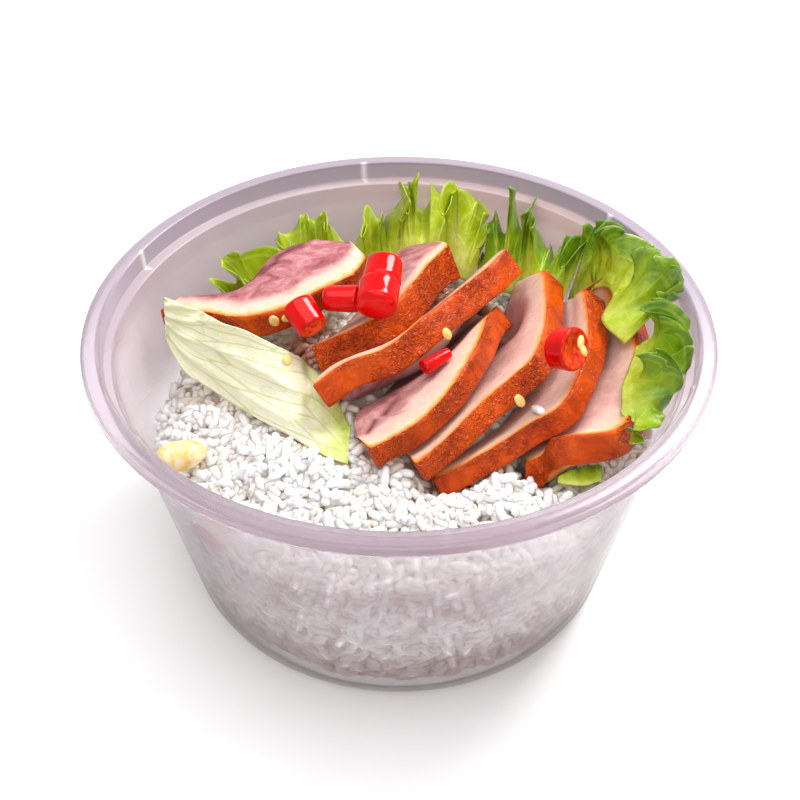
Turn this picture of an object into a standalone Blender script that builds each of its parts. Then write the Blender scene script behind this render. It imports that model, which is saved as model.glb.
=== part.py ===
"""Takeaway bowl of rice with fanned slices of roast meat, leaves and chilli.

Metres, +Z up. The origin is the middle of the bowl's underside, and -Y is the front.
"""

import math
import random

import bmesh
import bpy
from mathutils import Euler, Matrix, Vector
from mathutils.bvhtree import BVHTree

MM = 0.001
SEED = 7
COLLECTION_NAME = "takeaway_rice_bowl"

# Bowl
RIM_RADIUS = 90.0 * MM
RIM_HEIGHT = 90.0 * MM
WALL = 1.1 * MM
BASE_RADIUS = 62.0 * MM
WALL_FOOT_RADIUS = 65.5 * MM
WALL_FOOT_HEIGHT = 5.0 * MM
WALL_TOP_RADIUS = 81.1 * MM
LEDGE_HEIGHT = 83.6 * MM
STEP_RADIUS = 84.0 * MM
SKIRT_DROP = 3.6 * MM
BOWL_STEPS = 52

# Rice
RICE_WALL_GAP = 0.6 * MM
RICE_FLOOR = WALL + 0.5 * MM
RICE_EDGE_HEIGHT = 54.0 * MM
RICE_EDGE_RIGHT_RISE = 5.0 * MM
RICE_EDGE_FRONT_RISE = 2.0 * MM
RICE_CROWN_HEIGHT = 71.0 * MM
RICE_DOME_POWER = 2.6
RICE_COLUMNS = 52
RICE_RINGS = 21
RICE_FLOOR_RINGS = 2
RICE_SIDE_RINGS = 12
RICE_BUMP = 2.2 * MM
GRAIN_LENGTH = 7.0 * MM
GRAIN_WIDTH = 2.9 * MM
GRAIN_SPACING = 8.4 * MM
GRAIN_SIDES = 5
GRAIN_RINGS = 4
TOPPING_GAP = 0.5 * MM
TOPPING_REACH = 5.0 * MM
SETTLE_STEP = 0.8 * MM
SETTLE_ROUNDS = 30

# Meat slices: the line where skin meets the cut face, from the back end to the front
# end, the inner line of the cut face, and the thickness at both ends, in millimetres
SLICES = {
    "meat_slice_1": {
        "skin": [(-9.5, 35, 86), (-14, 24, 86.5), (-24, 16, 86.5), (-33.5, 9, 85.5),
                 (-46.5, 7, 83.5), (-60.5, 13.5, 81), (-72, 17, 79)],
        "meat": [(-15, 42, 87), (-27, 43.5, 87), (-38, 37, 86), (-49, 25, 82), (-67, 24, 78.5)],
        "droop": 0.0, "thickness": (8.0, 8.5),
    },
    "meat_slice_2": {
        "skin": [(15.5, 38.5, 88), (9.5, 26.5, 89.5), (4, 15, 90), (-4, 3, 88.5),
                 (-14, -1.5, 85.5), (-25.5, -4, 81.5)],
        "meat": [(12, 50.5, 83), (-1, 49.5, 80), (-7, 36.5, 77), (-14.5, 22, 74), (-25, 5, 74)],
        "droop": 2.0, "thickness": (11.5, 8.0),
    },
    "meat_slice_3": {
        "skin": [(33, 33.5, 90), (25.5, 21, 91), (15.5, 8, 91.5), (8, -1.5, 91.5),
                 (-3.5, -14.5, 89.5), (-14.5, -17.5, 87), (-24, -23, 82.5)],
        "meat": [(30, 44.5, 82), (12, 28, 76), (1, 11, 76), (-16.5, -5, 81), (-24, -12, 79)],
        "droop": 3.0, "thickness": (9.0, 8.0),
    },
    "meat_slice_4": {
        "skin": [(30, 24, 83.5), (27, 11, 85), (24, -4, 86.5), (19.5, -17.5, 87.5),
                 (13.5, -28.5, 85), (5, -37, 81.5), (-8, -43, 77)],
        "meat": [(21, 31, 74), (6, 7, 72), (-4, -6, 72), (-12.5, -21, 73.5), (-12, -32, 75)],
        "droop": 3.0, "thickness": (8.5, 6.5),
    },
    "meat_slice_5": {
        "skin": [(45, 32.5, 83), (43, 5.5, 85), (38.5, -11.5, 85), (33, -18.5, 84),
                 (23.5, -27.5, 81.5), (14, -37.5, 78), (4.5, -46, 74)],
        "meat": [(37, 42, 73), (29.5, 20, 70), (23.5, 3, 68), (11.5, -17, 68), (1.5, -34, 70.5)],
        "droop": 2.0, "thickness": (8.5, 6.0),
    },
    "meat_slice_6": {
        "skin": [(56, 22.5, 83), (55, 1.5, 84), (52, -13, 84), (45, -28.5, 81.5),
                 (36, -32.5, 77.5), (24, -38.5, 72.5), (9.5, -43.5, 68)],
        "meat": [(50, 31, 72), (45, 10, 71), (39, -6, 70), (26, -22, 66), (8, -35, 64)],
        "droop": 2.0, "thickness": (8.0, 6.0),
    },
    "meat_slice_7": {
        "skin": [(64, 29, 84), (67.5, 10, 84), (68, -8, 83), (65.5, -24, 81),
                 (60.5, -36.5, 80), (52, -38.5, 79), (43.5, -38, 78.5), (34.5, -37.5, 77.5)],
        "meat": [(57, 33, 75), (55, 8, 72), (51, -10, 71), (45, -22, 71), (36, -25, 70)],
        "droop": 0.0, "thickness": (8.0, 9.0),
    },
}
SLICE_COLUMNS = 12
SLICE_ROWS = 3
SLICE_REACH = 3.5 * MM
LEAF_REACH = 1.0 * MM

# Leaves: the lower and the upper edge, how deep and how many their waves are, their grid
LEAF_THICKNESS = 0.8
LEAVES = {
    "cabbage_leaf": {
        "lower": [(-69, 6, 77), (-63.5, -1.5, 71), (-52, -10.5, 68.5), (-39, -21.5, 68.5),
                  (-27, -30.5, 68), (-20, -36, 68), (-14, -39, 68)],
        "upper": [(-69, 12.5, 87), (-60, 8, 86), (-53, 3, 86), (-42, -3.5, 85.5),
                  (-32, -5.5, 81), (-26, -4, 74.5), (-19, -13, 71.5), (-13.5, -26, 69.5)],
        "wave": 0.8, "count": 4.0, "phase": 0.0, "grid": (14, 6), "colour": "cabbage", "tucked": True,
    },
    "lettuce_left": {
        "lower": [(-57, 33, 68), (-47, 43, 66), (-38, 51, 66), (-20, 54, 68), (-5, 54, 70)],
        "upper": [(-60, 25, 79), (-51, 38, 84), (-39, 56, 86), (-21, 65, 87), (-4, 66, 86)],
        "wave": 2.6, "count": 6.0, "phase": 0.4, "grid": (22, 5), "colour": "lettuce", "tucked": True,
    },
    "lettuce_back": {
        "lower": [(-3, 54, 74), (6, 57, 74), (15, 56, 74), (24, 51, 74)],
        "upper": [(-3, 67, 86), (6, 74, 90), (18, 70, 90), (28, 57, 87)],
        "wave": 3.0, "count": 4.0, "phase": 1.0, "grid": (14, 5), "colour": "lettuce", "tucked": False,
    },
    "lettuce_middle": {
        "lower": [(30, 47, 73), (38, 45, 73), (46, 42, 73), (54, 37, 73)],
        "upper": [(27, 55, 87), (39, 67, 92), (48, 55, 89), (60, 49, 90)],
        "wave": 2.4, "count": 3.5, "phase": 2.0, "grid": (14, 5), "colour": "lettuce", "tucked": False,
    },
    "lettuce_right": {
        "lower": [(62, 40, 82), (68, 31, 87), (69.5, 19, 88.5), (65, 6, 89), (69, -3, 88.5)],
        "upper": [(63, 44, 92), (69, 34, 95), (75, 24, 96), (81, 10, 97), (78, 2, 95.5)],
        "wave": 1.8, "count": 4.5, "phase": 0.8, "grid": (16, 5), "colour": "lettuce", "tucked": False,
    },
    "lettuce_front": {
        "lower": [(73, -9, 88), (70, -17, 87), (67, -26, 86), (67, -38, 81)],
        "upper": [(79, -6, 94), (81, -14, 94), (77, -26, 91), (68, -42, 82)],
        "wave": 1.6, "count": 3.5, "phase": 2.6, "grid": (14, 4), "colour": "lettuce", "tucked": False,
    },
    "lettuce_tip": {
        "lower": [(43, -45, 67), (50, -45, 66), (55, -43, 66)],
        "upper": [(44, -36, 67.5), (50, -37, 67), (56, -38, 66.5)],
        "wave": 0.5, "count": 1.5, "phase": 0.0, "grid": (5, 3), "colour": "lettuce", "tucked": True,
    },
}
LEAF_WALL_GAP = 1.2 * MM

# Chilli pieces: centre, direction of the axis, radius at both ends and length
CHILLI_SIDES = 12
CHILLIES = {
    "chilli_1": {"at": (-4.5, 12.5, 96.0), "along": (0.15, 1.0, 0.3), "radii": (5.6, 5.0), "length": 8.0},
    "chilli_2": {"at": (-6.0, 3.2, 94.5), "along": (0.1, 1.0, 0.15), "radii": (5.8, 5.8), "length": 9.0},
    "chilli_3": {"at": (-16.5, 7.0, 90.5), "along": (1.0, -0.15, 0.1), "radii": (3.8, 4.2), "length": 9.5},
    "chilli_4": {"at": (-27.0, 3.0, 87.0), "along": (-0.5, 0.75, 0.3), "radii": (4.4, 4.8), "length": 9.5},
    "chilli_5": {"at": (46.0, -17.0, 91.0), "along": (0.8, -0.62, 0.45), "radii": (6.0, 6.4), "length": 6.5},
    "chilli_6": {"at": (10.5, -14.5, 85.0), "along": (0.75, 0.6, 0.1), "radii": (2.4, 1.6), "length": 9.0},
}

# Seeds and loose grains that lie on a slice, by their nearest point on it
SEED_SIZE = (4.2, 3.2, 1.8)
SEEDS = {
    "meat_slice_1": [(-36.0, 5.0, 82.0), (-31.5, 6.5, 82.0)],
    "meat_slice_3": [(13.5, -4.5, 86.5)],
    "meat_slice_5": [(34.0, -25.0, 79.0)],
    "meat_slice_6": [(38.0, -27.0, 78.0)],
}

CLOVE_CENTRE = (-61.5, -30.0, 63.0)
CLOVE_SIZE = (15.0, 9.5, 8.0)
SHALLOT_CENTRE = (-50.5, -52.5, 57.5)
SHALLOT_SIZE = (12.0, 5.0, 9.0)

# Colours with their roughness
FINISHES = {
    "frosted_plastic": ((0.72, 0.66, 0.71, 1.0), 0.35),
    "rice": ((0.90, 0.88, 0.88, 1.0), 0.45),
    "roast_meat": ((0.50, 0.12, 0.04, 1.0), 0.35),
    "cabbage": ((0.72, 0.75, 0.42, 1.0), 0.45),
    "lettuce": ((0.33, 0.50, 0.03, 1.0), 0.45),
    "chilli": ((0.65, 0.01, 0.01, 1.0), 0.15),
    "garlic": ((0.85, 0.76, 0.50, 1.0), 0.45),
    "shallot": ((0.60, 0.20, 0.28, 1.0), 0.40),
}


def clear_scene():
    for thing in list(bpy.data.objects):
        bpy.data.objects.remove(thing, do_unlink=True)


def make_materials():
    materials = {}
    for name, (colour, roughness) in FINISHES.items():
        material = bpy.data.materials.new(name)
        material.use_nodes = True
        shader = material.node_tree.nodes["Principled BSDF"]
        shader.inputs["Base Color"].default_value = colour
        shader.inputs["Roughness"].default_value = roughness
        shader.inputs["Metallic"].default_value = 0.0
        materials[name] = material
    return materials


def add_object(name, bm, material, collection):
    mesh = bpy.data.meshes.new(name)
    bm.to_mesh(mesh)
    bm.free()
    thing = bpy.data.objects.new(name, mesh)
    thing.data.materials.append(material)
    collection.objects.link(thing)
    return thing


def smooth_point(points, u):
    """Point at u, from 0 to 1, on the smooth line through the points, in metres."""
    last = len(points) - 1
    place = min(max(u, 0.0), 1.0) * last
    index = min(int(place), last - 1)
    t = place - index
    a, b, c, d = (Vector(points[min(max(index + k, 0), last)]) for k in (-1, 0, 1, 2))
    curve = b * 2 + (c - a) * t + (a * 2 - b * 5 + c * 4 - d) * t**2
    curve += (b * 3 - a - c * 3 + d) * t**3
    return curve * 0.5 * MM


def wall_radius(z):
    """Inner radius of the bowl at a height."""
    if z >= LEDGE_HEIGHT:
        return STEP_RADIUS
    share = (max(z, WALL_FOOT_HEIGHT) - WALL_FOOT_HEIGHT) / (LEDGE_HEIGHT - WALL_FOOT_HEIGHT)
    return WALL_FOOT_RADIUS + (WALL_TOP_RADIUS - WALL_FOOT_RADIUS) * share


def keep_inside(point, gap):
    """Draws a point in to the bowl's inner face, less a gap."""
    limit = wall_radius(point.z) - gap
    reach = math.hypot(point.x, point.y)
    if reach > limit:
        return Vector((point.x * limit / reach, point.y * limit / reach, point.z))
    return point


def bowl_profile():
    """Half section from the middle of the inner floor, over the rim, to the underside."""
    ledge_top = LEDGE_HEIGHT + 0.6 * MM
    lip = RIM_HEIGHT
    return [
        (0.0, WALL),
        (BASE_RADIUS - 1.5 * MM, WALL),
        (WALL_FOOT_RADIUS - 1.4 * MM, WALL + 1.2 * MM),
        (WALL_FOOT_RADIUS, WALL_FOOT_HEIGHT),
        (WALL_TOP_RADIUS, LEDGE_HEIGHT),
        (STEP_RADIUS, ledge_top),
        (STEP_RADIUS + 0.4 * MM, lip - 0.3 * MM),
        (STEP_RADIUS + 1.0 * MM, lip),
        (RIM_RADIUS - 1.6 * MM, lip - 0.3 * MM),
        (RIM_RADIUS - 0.3 * MM, lip - 1.2 * MM),
        (RIM_RADIUS, lip - 2.2 * MM),
        (RIM_RADIUS, lip - SKIRT_DROP),
        (RIM_RADIUS - WALL, lip - SKIRT_DROP),
        (RIM_RADIUS - WALL - 0.3 * MM, lip - 1.8 * MM),
        (STEP_RADIUS + 1.6 * MM, lip - 1.3 * MM),
        (STEP_RADIUS + 1.1 * MM, ledge_top - 1.0 * MM),
        (WALL_TOP_RADIUS + WALL, LEDGE_HEIGHT - 1.1 * MM),
        (WALL_FOOT_RADIUS + WALL + 0.1 * MM, WALL_FOOT_HEIGHT),
        (WALL_FOOT_RADIUS - 0.3 * MM, 1.4 * MM),
        (BASE_RADIUS, 0.0),
        (0.0, 0.0),
    ]


def make_bowl(materials, collection):
    bm = bmesh.new()
    verts = [bm.verts.new((r, 0.0, z)) for r, z in bowl_profile()]
    for a, b in zip(verts, verts[1:]):
        bm.edges.new((a, b))
    bowl = add_object("bowl", bm, materials["frosted_plastic"], collection)
    screw = bowl.modifiers.new("turned", "SCREW")
    screw.steps = BOWL_STEPS
    screw.render_steps = BOWL_STEPS
    screw.use_merge_vertices = True
    screw.merge_threshold = 0.00001
    screw.use_smooth_shade = True
    return bowl


def sheet(columns, rows, place):
    """Grid of triangles whose corners place(u, v) puts in space."""
    bm = bmesh.new()
    bmesh.ops.create_grid(bm, x_segments=columns, y_segments=rows, size=0.5)
    for vert in bm.verts:
        vert.co = place(vert.co.x + 0.5, vert.co.y + 0.5)
    return bm


def add_thickness(thing, thickness):
    solid = thing.modifiers.new("thickness", "SOLIDIFY")
    solid.thickness = thickness
    solid.offset = 0.0


def world_mesh(thing):
    """Evaluated triangles of an object, as a bmesh."""
    graph = bpy.context.evaluated_depsgraph_get()
    bm = bmesh.new()
    bm.from_object(thing, graph)
    bmesh.ops.triangulate(bm, faces=bm.faces)
    return bm


def search_tree(things, grow=0.0):
    """One search tree over several objects, each swollen by a distance."""
    corners = []
    faces = []
    for thing in things:
        bm = world_mesh(thing)
        bm.normal_update()
        start = len(corners)
        corners += [vert.co + vert.normal * grow for vert in bm.verts]
        faces += [[start + vert.index for vert in face.verts] for face in bm.faces]
        bm.free()
    return BVHTree.FromPolygons(corners, faces)


def height_under(above, x, y, reach):
    """Lowest underside round a place of what lies over it, less a gap, or None."""
    found = []
    for ring in (0.0, 0.5 * reach, reach):
        for turn in range(8 if ring else 1):
            angle = turn * math.pi / 4
            start = Vector((x + ring * math.cos(angle), y + ring * math.sin(angle), 0.02))
            hit = above.ray_cast(start, Vector((0.0, 0.0, 1.0)))[0]
            if hit:
                found.append(hit.z)
    return min(found) - TOPPING_GAP if found else None


def tuck_under(point, above, reach):
    """Lowers a point that would come within a gap of what lies over it."""
    under = height_under(above, point.x, point.y, reach)
    if under is not None and point.z > under:
        return Vector((point.x, point.y, under))
    return point


def make_slice(name, shape, above, materials, collection):
    """A slab with its cut face between the skin line and the meat line."""
    back, front = shape["thickness"]

    def place(u, v):
        point = smooth_point(shape["skin"], u).lerp(smooth_point(shape["meat"], u), v)
        return point - Vector((0.0, 0.0, shape["droop"] * MM * v**2))

    bm = sheet(SLICE_COLUMNS, SLICE_ROWS, place)
    bm.normal_update()
    through = bm.verts.layers.float_vector.new("through")
    across = SLICE_COLUMNS + 1
    for vert in bm.verts:
        u = (vert.index % across) / SLICE_COLUMNS
        vert[through] = vert.normal * (back + (front - back) * u) * MM
    if above:
        tree = search_tree(above)
        for vert in bm.verts:
            vert.co = tuck_under(vert.co, tree, SLICE_REACH)
    grown = bmesh.ops.extrude_face_region(bm, geom=bm.faces[:])["geom"]
    for vert in grown:
        if isinstance(vert, bmesh.types.BMVert):
            vert.co += vert[through]
    bm.verts.layers.float_vector.remove(through)
    bmesh.ops.recalc_face_normals(bm, faces=bm.faces)
    return add_object(name, bm, materials["roast_meat"], collection)


def make_leaf(name, shape, above, materials, collection):
    """A thin wavy sheet between a lower and an upper edge, frilled towards the upper."""
    columns, rows = shape["grid"]

    def place(u, v):
        low = smooth_point(shape["lower"], u)
        high = smooth_point(shape["upper"], u)
        step = smooth_point(shape["lower"], u + 0.02) - smooth_point(shape["lower"], u - 0.02)
        out = step.cross(high - low).normalized()
        turn = 2 * math.pi * shape["count"] * u + shape["phase"]
        ruffle = math.sin(turn) + 0.4 * math.sin(2.3 * turn + 1.0)
        point = low.lerp(high, v * (0.94 + 0.06 * math.cos(1.7 * turn)))
        point = keep_inside(point + out * shape["wave"] * MM * v**1.5 * ruffle, LEAF_WALL_GAP)
        return tuck_under(point, above, LEAF_REACH) if shape["tucked"] else point

    bm = sheet(columns, rows, place)
    bmesh.ops.triangulate(bm, faces=bm.faces)
    leaf = add_object(name, bm, materials[shape["colour"]], collection)
    add_thickness(leaf, LEAF_THICKNESS * MM)
    return leaf


def make_chilli(name, shape, materials, collection):
    """A short tapered length of chilli, its cut ends rounded over."""
    back, front = shape["radii"]
    bm = bmesh.new()
    bmesh.ops.create_cone(
        bm, cap_ends=True, segments=CHILLI_SIDES, radius1=back * MM, radius2=front * MM,
        depth=shape["length"] * MM,
    )
    rims = [edge for edge in bm.edges if any(len(face.verts) > 4 for face in edge.link_faces)]
    bmesh.ops.bevel(
        bm, geom=rims, offset=0.22 * min(back, front) * MM, segments=1, profile=0.5,
        affect="EDGES", material=-1,
    )
    turn = Vector(shape["along"]).to_track_quat("Z", "Y").to_matrix().to_4x4()
    bmesh.ops.transform(bm, matrix=Matrix.Translation(Vector(shape["at"]) * MM) @ turn, verts=bm.verts)
    return add_object(name, bm, materials["chilli"], collection)


def make_lump(name, centre, size, yaw, material, collection):
    """A rounded lump, flattened underneath."""
    bm = bmesh.new()
    bmesh.ops.create_icosphere(bm, subdivisions=2, radius=0.5)
    for vert in bm.verts:
        vert.co.z = max(vert.co.z, -0.32)
        vert.co.y *= 1.0 - 0.35 * vert.co.x
    bmesh.ops.scale(bm, vec=Vector(size) * MM, verts=bm.verts)
    place = Matrix.Translation(Vector(centre) * MM) @ Matrix.Rotation(yaw, 4, "Z")
    bmesh.ops.transform(bm, matrix=place, verts=bm.verts)
    return add_object(name, bm, material, collection)


def grain_bmesh(length, width, height):
    bm = bmesh.new()
    bmesh.ops.create_uvsphere(bm, u_segments=GRAIN_SIDES, v_segments=GRAIN_RINGS, radius=0.5)
    bmesh.ops.scale(bm, vec=(width, height, length), verts=bm.verts)
    bmesh.ops.triangulate(bm, faces=bm.faces)
    return bm


def fuse(thing, extras):
    """Joins a collection of small solids to an object, then keeps its largest shell."""
    union = thing.modifiers.new("fused", "BOOLEAN")
    union.operation = "UNION"
    union.operand_type = "COLLECTION"
    union.collection = extras
    union.solver = "MANIFOLD"
    graph = bpy.context.evaluated_depsgraph_get()
    fused = bpy.data.meshes.new_from_object(thing.evaluated_get(graph))
    thing.modifiers.clear()
    thing.data = fused
    for extra in list(extras.objects):
        bpy.data.objects.remove(extra, do_unlink=True)
    bpy.data.collections.remove(extras)
    keep_largest_shell(thing)


def keep_largest_shell(thing):
    bm = bmesh.new()
    bm.from_mesh(thing.data)
    bmesh.ops.triangulate(bm, faces=bm.faces)
    left = set(bm.faces)
    shells = []
    while left:
        shell = set()
        queue = [left.pop()]
        while queue:
            face = queue.pop()
            shell.add(face)
            near = {other for edge in face.edges for other in edge.link_faces} & left
            left -= near
            queue += near
        shells.append(shell)
    largest = max(shells, key=len)
    scraps = [face for face in bm.faces if face not in largest]
    bmesh.ops.delete(bm, geom=scraps, context="FACES")
    bmesh.ops.delete(bm, geom=[vert for vert in bm.verts if not vert.link_faces], context="VERTS")
    bm.to_mesh(thing.data)
    bm.free()


def fuse_seeds(slab, spots):
    """Chilli seeds half sunk where they lie on a slice."""
    tree = search_tree([slab])
    extras = bpy.data.collections.new(slab.name + "_seeds")
    bpy.context.scene.collection.children.link(extras)
    for index, spot in enumerate(spots):
        place, normal, _, _ = tree.find_nearest(Vector(spot) * MM)
        bm = grain_bmesh(SEED_SIZE[0] * MM, SEED_SIZE[1] * MM, SEED_SIZE[2] * MM)
        turn = normal.to_track_quat("Y", "Z").to_matrix().to_4x4()
        bmesh.ops.transform(bm, matrix=Matrix.Translation(place) @ turn, verts=bm.verts)
        add_object(f"{slab.name}_seed_{index}", bm, slab.data.materials[0], extras)
    fuse(slab, extras)


def rice_edge_height(angle):
    """Height at which the rice meets the wall, higher at the right and the front."""
    rise = RICE_EDGE_RIGHT_RISE * math.cos(angle) - RICE_EDGE_FRONT_RISE * math.sin(angle)
    return RICE_EDGE_HEIGHT + rise


def rice_dome_height(x, y):
    edge = rice_edge_height(math.atan2(y, x))
    share = min(math.hypot(x, y) / (wall_radius(edge) - RICE_WALL_GAP), 1.0)
    return edge + (RICE_CROWN_HEIGHT - edge) * (1.0 - share**RICE_DOME_POWER)


def settle(bm, above):
    """Presses a heap down wherever it still meets what lies on it."""
    for _ in range(SETTLE_ROUNDS):
        met = {pair[0] for pair in BVHTree.FromBMesh(bm).overlap(above)}
        bm.faces.ensure_lookup_table()
        for vert in {vert for index in met for vert in bm.faces[index].verts}:
            vert.co.z -= SETTLE_STEP


def make_rice_core(toppings, materials, collection, draw):
    """A turned heap with bumps of grain size, its top fitted under the toppings."""
    above = search_tree(toppings)
    bm = bmesh.new()
    bmesh.ops.create_uvsphere(bm, u_segments=RICE_COLUMNS, v_segments=RICE_RINGS, radius=1.0)
    for vert in bm.verts:
        ring = round((math.asin(max(-1.0, min(1.0, vert.co.z))) / math.pi + 0.5) * RICE_RINGS)
        angle = math.atan2(vert.co.y, vert.co.x)
        edge = rice_edge_height(angle)
        bump = draw.uniform(0.0, RICE_BUMP)
        if ring <= RICE_FLOOR_RINGS:
            reach = (BASE_RADIUS - 1.5 * MM) * ring / RICE_FLOOR_RINGS
            vert.co = (reach * math.cos(angle), reach * math.sin(angle), RICE_FLOOR)
            continue
        if ring <= RICE_SIDE_RINGS:
            share = (ring - RICE_FLOOR_RINGS) / (RICE_SIDE_RINGS - RICE_FLOOR_RINGS)
            z = RICE_FLOOR + (edge - RICE_FLOOR) * share
            reach = wall_radius(z) - RICE_WALL_GAP - bump
            vert.co = (reach * math.cos(angle), reach * math.sin(angle), z)
            continue
        share = (RICE_RINGS - ring) / (RICE_RINGS - RICE_SIDE_RINGS)
        reach = (wall_radius(edge) - RICE_WALL_GAP) * share
        x = reach * math.cos(angle)
        y = reach * math.sin(angle)
        z = rice_dome_height(x, y) - (bump if ring < RICE_RINGS else 0.0)
        vert.co = tuck_under(Vector((x, y, z)), above, TOPPING_REACH)
    bmesh.ops.triangulate(bm, faces=bm.faces)
    settle(bm, search_tree(toppings, TOPPING_GAP))
    return add_object("rice", bm, materials["rice"], collection)


def grain_fits(bm, others):
    """True where a grain stays inside the bowl and off the toppings."""
    for vert in bm.verts:
        if math.hypot(vert.co.x, vert.co.y) > wall_radius(vert.co.z) - RICE_WALL_GAP:
            return False
        place, normal, _, distance = others.find_nearest(vert.co)
        if distance < TOPPING_GAP or (vert.co - place).dot(normal) < 0.0:
            return False
    return True


def fuse_grains(rice, toppings, draw):
    """Whole grains laid over the open top of the heap, on a jittered triangular grid."""
    core = search_tree([rice])
    others = search_tree(toppings)
    extras = bpy.data.collections.new("rice_grains")
    bpy.context.scene.collection.children.link(extras)
    across = int(RIM_RADIUS / GRAIN_SPACING) + 1
    count = 0
    for row in range(-across, across + 1):
        for column in range(-across, across + 1):
            x = (column + 0.5 * (row % 2)) * GRAIN_SPACING + draw.uniform(-1.0, 1.0) * MM
            y = row * GRAIN_SPACING * 0.87 + draw.uniform(-1.0, 1.0) * MM
            yaw = draw.uniform(0.0, math.pi)
            tilt = draw.uniform(-0.35, 0.35)
            size = draw.uniform(0.88, 1.08)
            ground, normal, _, _ = core.ray_cast(Vector((x, y, 0.2)), Vector((0.0, 0.0, -1.0)))
            if ground is None:
                continue
            above = others.ray_cast(ground + Vector((0.0, 0.0, 0.001)), Vector((0.0, 0.0, 1.0)))[0]
            if above is not None:
                continue
            bm = grain_bmesh(GRAIN_LENGTH * size, GRAIN_WIDTH * size, GRAIN_WIDTH * size)
            lie = Euler((math.pi / 2 + tilt, 0.0, yaw)).to_matrix().to_4x4()
            lean = Vector((0, 0, 1)).rotation_difference(normal).to_matrix().to_4x4()
            lift = Matrix.Translation(ground + normal * 0.3 * GRAIN_WIDTH)
            bmesh.ops.transform(bm, matrix=lift @ lean @ lie, verts=bm.verts)
            if not grain_fits(bm, others):
                bm.free()
                continue
            add_object(f"grain_{count}", bm, rice.data.materials[0], extras)
            count += 1
    fuse(rice, extras)


def main():
    clear_scene()
    collection = bpy.data.collections.new(COLLECTION_NAME)
    bpy.context.scene.collection.children.link(collection)
    materials = make_materials()
    draw = random.Random(SEED)

    make_bowl(materials, collection)
    toppings = []
    for name, shape in SLICES.items():
        toppings.append(make_slice(name, shape, toppings, materials, collection))
    for slab in list(toppings):
        if slab.name in SEEDS:
            fuse_seeds(slab, SEEDS[slab.name])
    slices = search_tree(toppings)
    for name, shape in LEAVES.items():
        toppings.append(make_leaf(name, shape, slices, materials, collection))
    for name, shape in CHILLIES.items():
        toppings.append(make_chilli(name, shape, materials, collection))
    toppings.append(
        make_lump("garlic_clove", CLOVE_CENTRE, CLOVE_SIZE, 0.3, materials["garlic"], collection)
    )
    toppings.append(
        make_lump("shallot_wedge", SHALLOT_CENTRE, SHALLOT_SIZE, -0.8, materials["shallot"], collection)
    )
    rice = make_rice_core(toppings, materials, collection, draw)
    fuse_grains(rice, toppings, draw)


main()
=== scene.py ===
# %% [markdown]
# # A takeaway bowl of rice with roast duck
#
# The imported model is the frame. Every piece below stands where its solid stands,
# in metres, with +Z up, -Y to the front and the origin under the middle of the bowl.

# %% Load the frame
import math
import random

import bmesh
import bpy
from mathutils import Euler, Matrix, Vector, noise
from mathutils.bvhtree import BVHTree


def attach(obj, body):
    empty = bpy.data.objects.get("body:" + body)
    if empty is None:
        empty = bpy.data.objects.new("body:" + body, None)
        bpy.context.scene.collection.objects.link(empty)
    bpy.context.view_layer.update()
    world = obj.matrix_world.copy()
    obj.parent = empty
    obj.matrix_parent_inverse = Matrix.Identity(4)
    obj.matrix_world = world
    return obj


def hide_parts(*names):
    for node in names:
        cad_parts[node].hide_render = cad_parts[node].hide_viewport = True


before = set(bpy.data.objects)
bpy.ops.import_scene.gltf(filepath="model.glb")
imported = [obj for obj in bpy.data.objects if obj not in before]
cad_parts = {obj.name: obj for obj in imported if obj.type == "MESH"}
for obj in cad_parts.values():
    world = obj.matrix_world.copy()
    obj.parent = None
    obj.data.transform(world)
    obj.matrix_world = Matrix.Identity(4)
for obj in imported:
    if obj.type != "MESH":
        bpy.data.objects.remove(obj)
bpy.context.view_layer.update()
MM = 0.001
print("solids in the frame:", len(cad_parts))

# %% [markdown]
# ## Small helpers
#
# A lesson needs few tools: one that turns a bmesh into a named piece, one that hands a
# finished piece to the frame, one that walks along a smooth line through points, and short
# ones that round, blend, relax and vary a shape.


# %% Turn a bmesh into a piece
def make_piece(name, bm, material):
    mesh = bpy.data.meshes.new(name)
    bm.to_mesh(mesh)
    bm.free()
    mesh.polygons.foreach_set("use_smooth", [True] * len(mesh.polygons))
    piece = bpy.data.objects.new(name, mesh)
    piece.data.materials.append(material)
    bpy.context.scene.collection.objects.link(piece)
    return piece


def settle_in(piece, node):
    """Rides on the model's one body and stands for a solid."""
    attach(piece, "root")
    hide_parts(node)
    print(piece.name, "faces", len(piece.data.polygons))


def add_subdivision(piece):
    rounded = piece.modifiers.new("rounded", "SUBSURF")
    rounded.levels = 1
    rounded.render_levels = 1


# %% Walk along a smooth line
def smooth_point(points, u):
    """Point at u, from 0 to 1, on the smooth line through points in millimetres."""
    last = len(points) - 1
    place = min(max(u, 0.0), 1.0) * last
    index = min(int(place), last - 1)
    t = place - index
    a, b, c, d = (Vector(points[min(max(index + k, 0), last)]) for k in (-1, 0, 1, 2))
    curve = b * 2 + (c - a) * t + (a * 2 - b * 5 + c * 4 - d) * t**2
    curve += (b * 3 - a - c * 3 + d) * t**3
    return curve * 0.5 * MM


def smoothstep(low, high, value):
    t = min(max((value - low) / (high - low), 0.0), 1.0)
    return t * t * (3.0 - 2.0 * t)


def wander(place, size, seed=0.0):
    """Soft noise between -1 and 1 with features of a size in metres."""
    return noise.noise(place / size + Vector((seed, 0.37 * seed, -seed)))


def relax(bm, factor):
    """Smooths every point that isn't on an open edge."""
    inner = [vert for vert in bm.verts if not vert.is_boundary]
    bmesh.ops.smooth_vert(bm, verts=inner, factor=factor, use_axis_x=True, use_axis_y=True, use_axis_z=True)


# %% [markdown]
# ## Materials in words
#
# Each finish is a small node tree. The helpers here add a node, feed its inputs and make
# a noise pattern on Object coordinates, which stay with the piece in every view.


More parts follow.
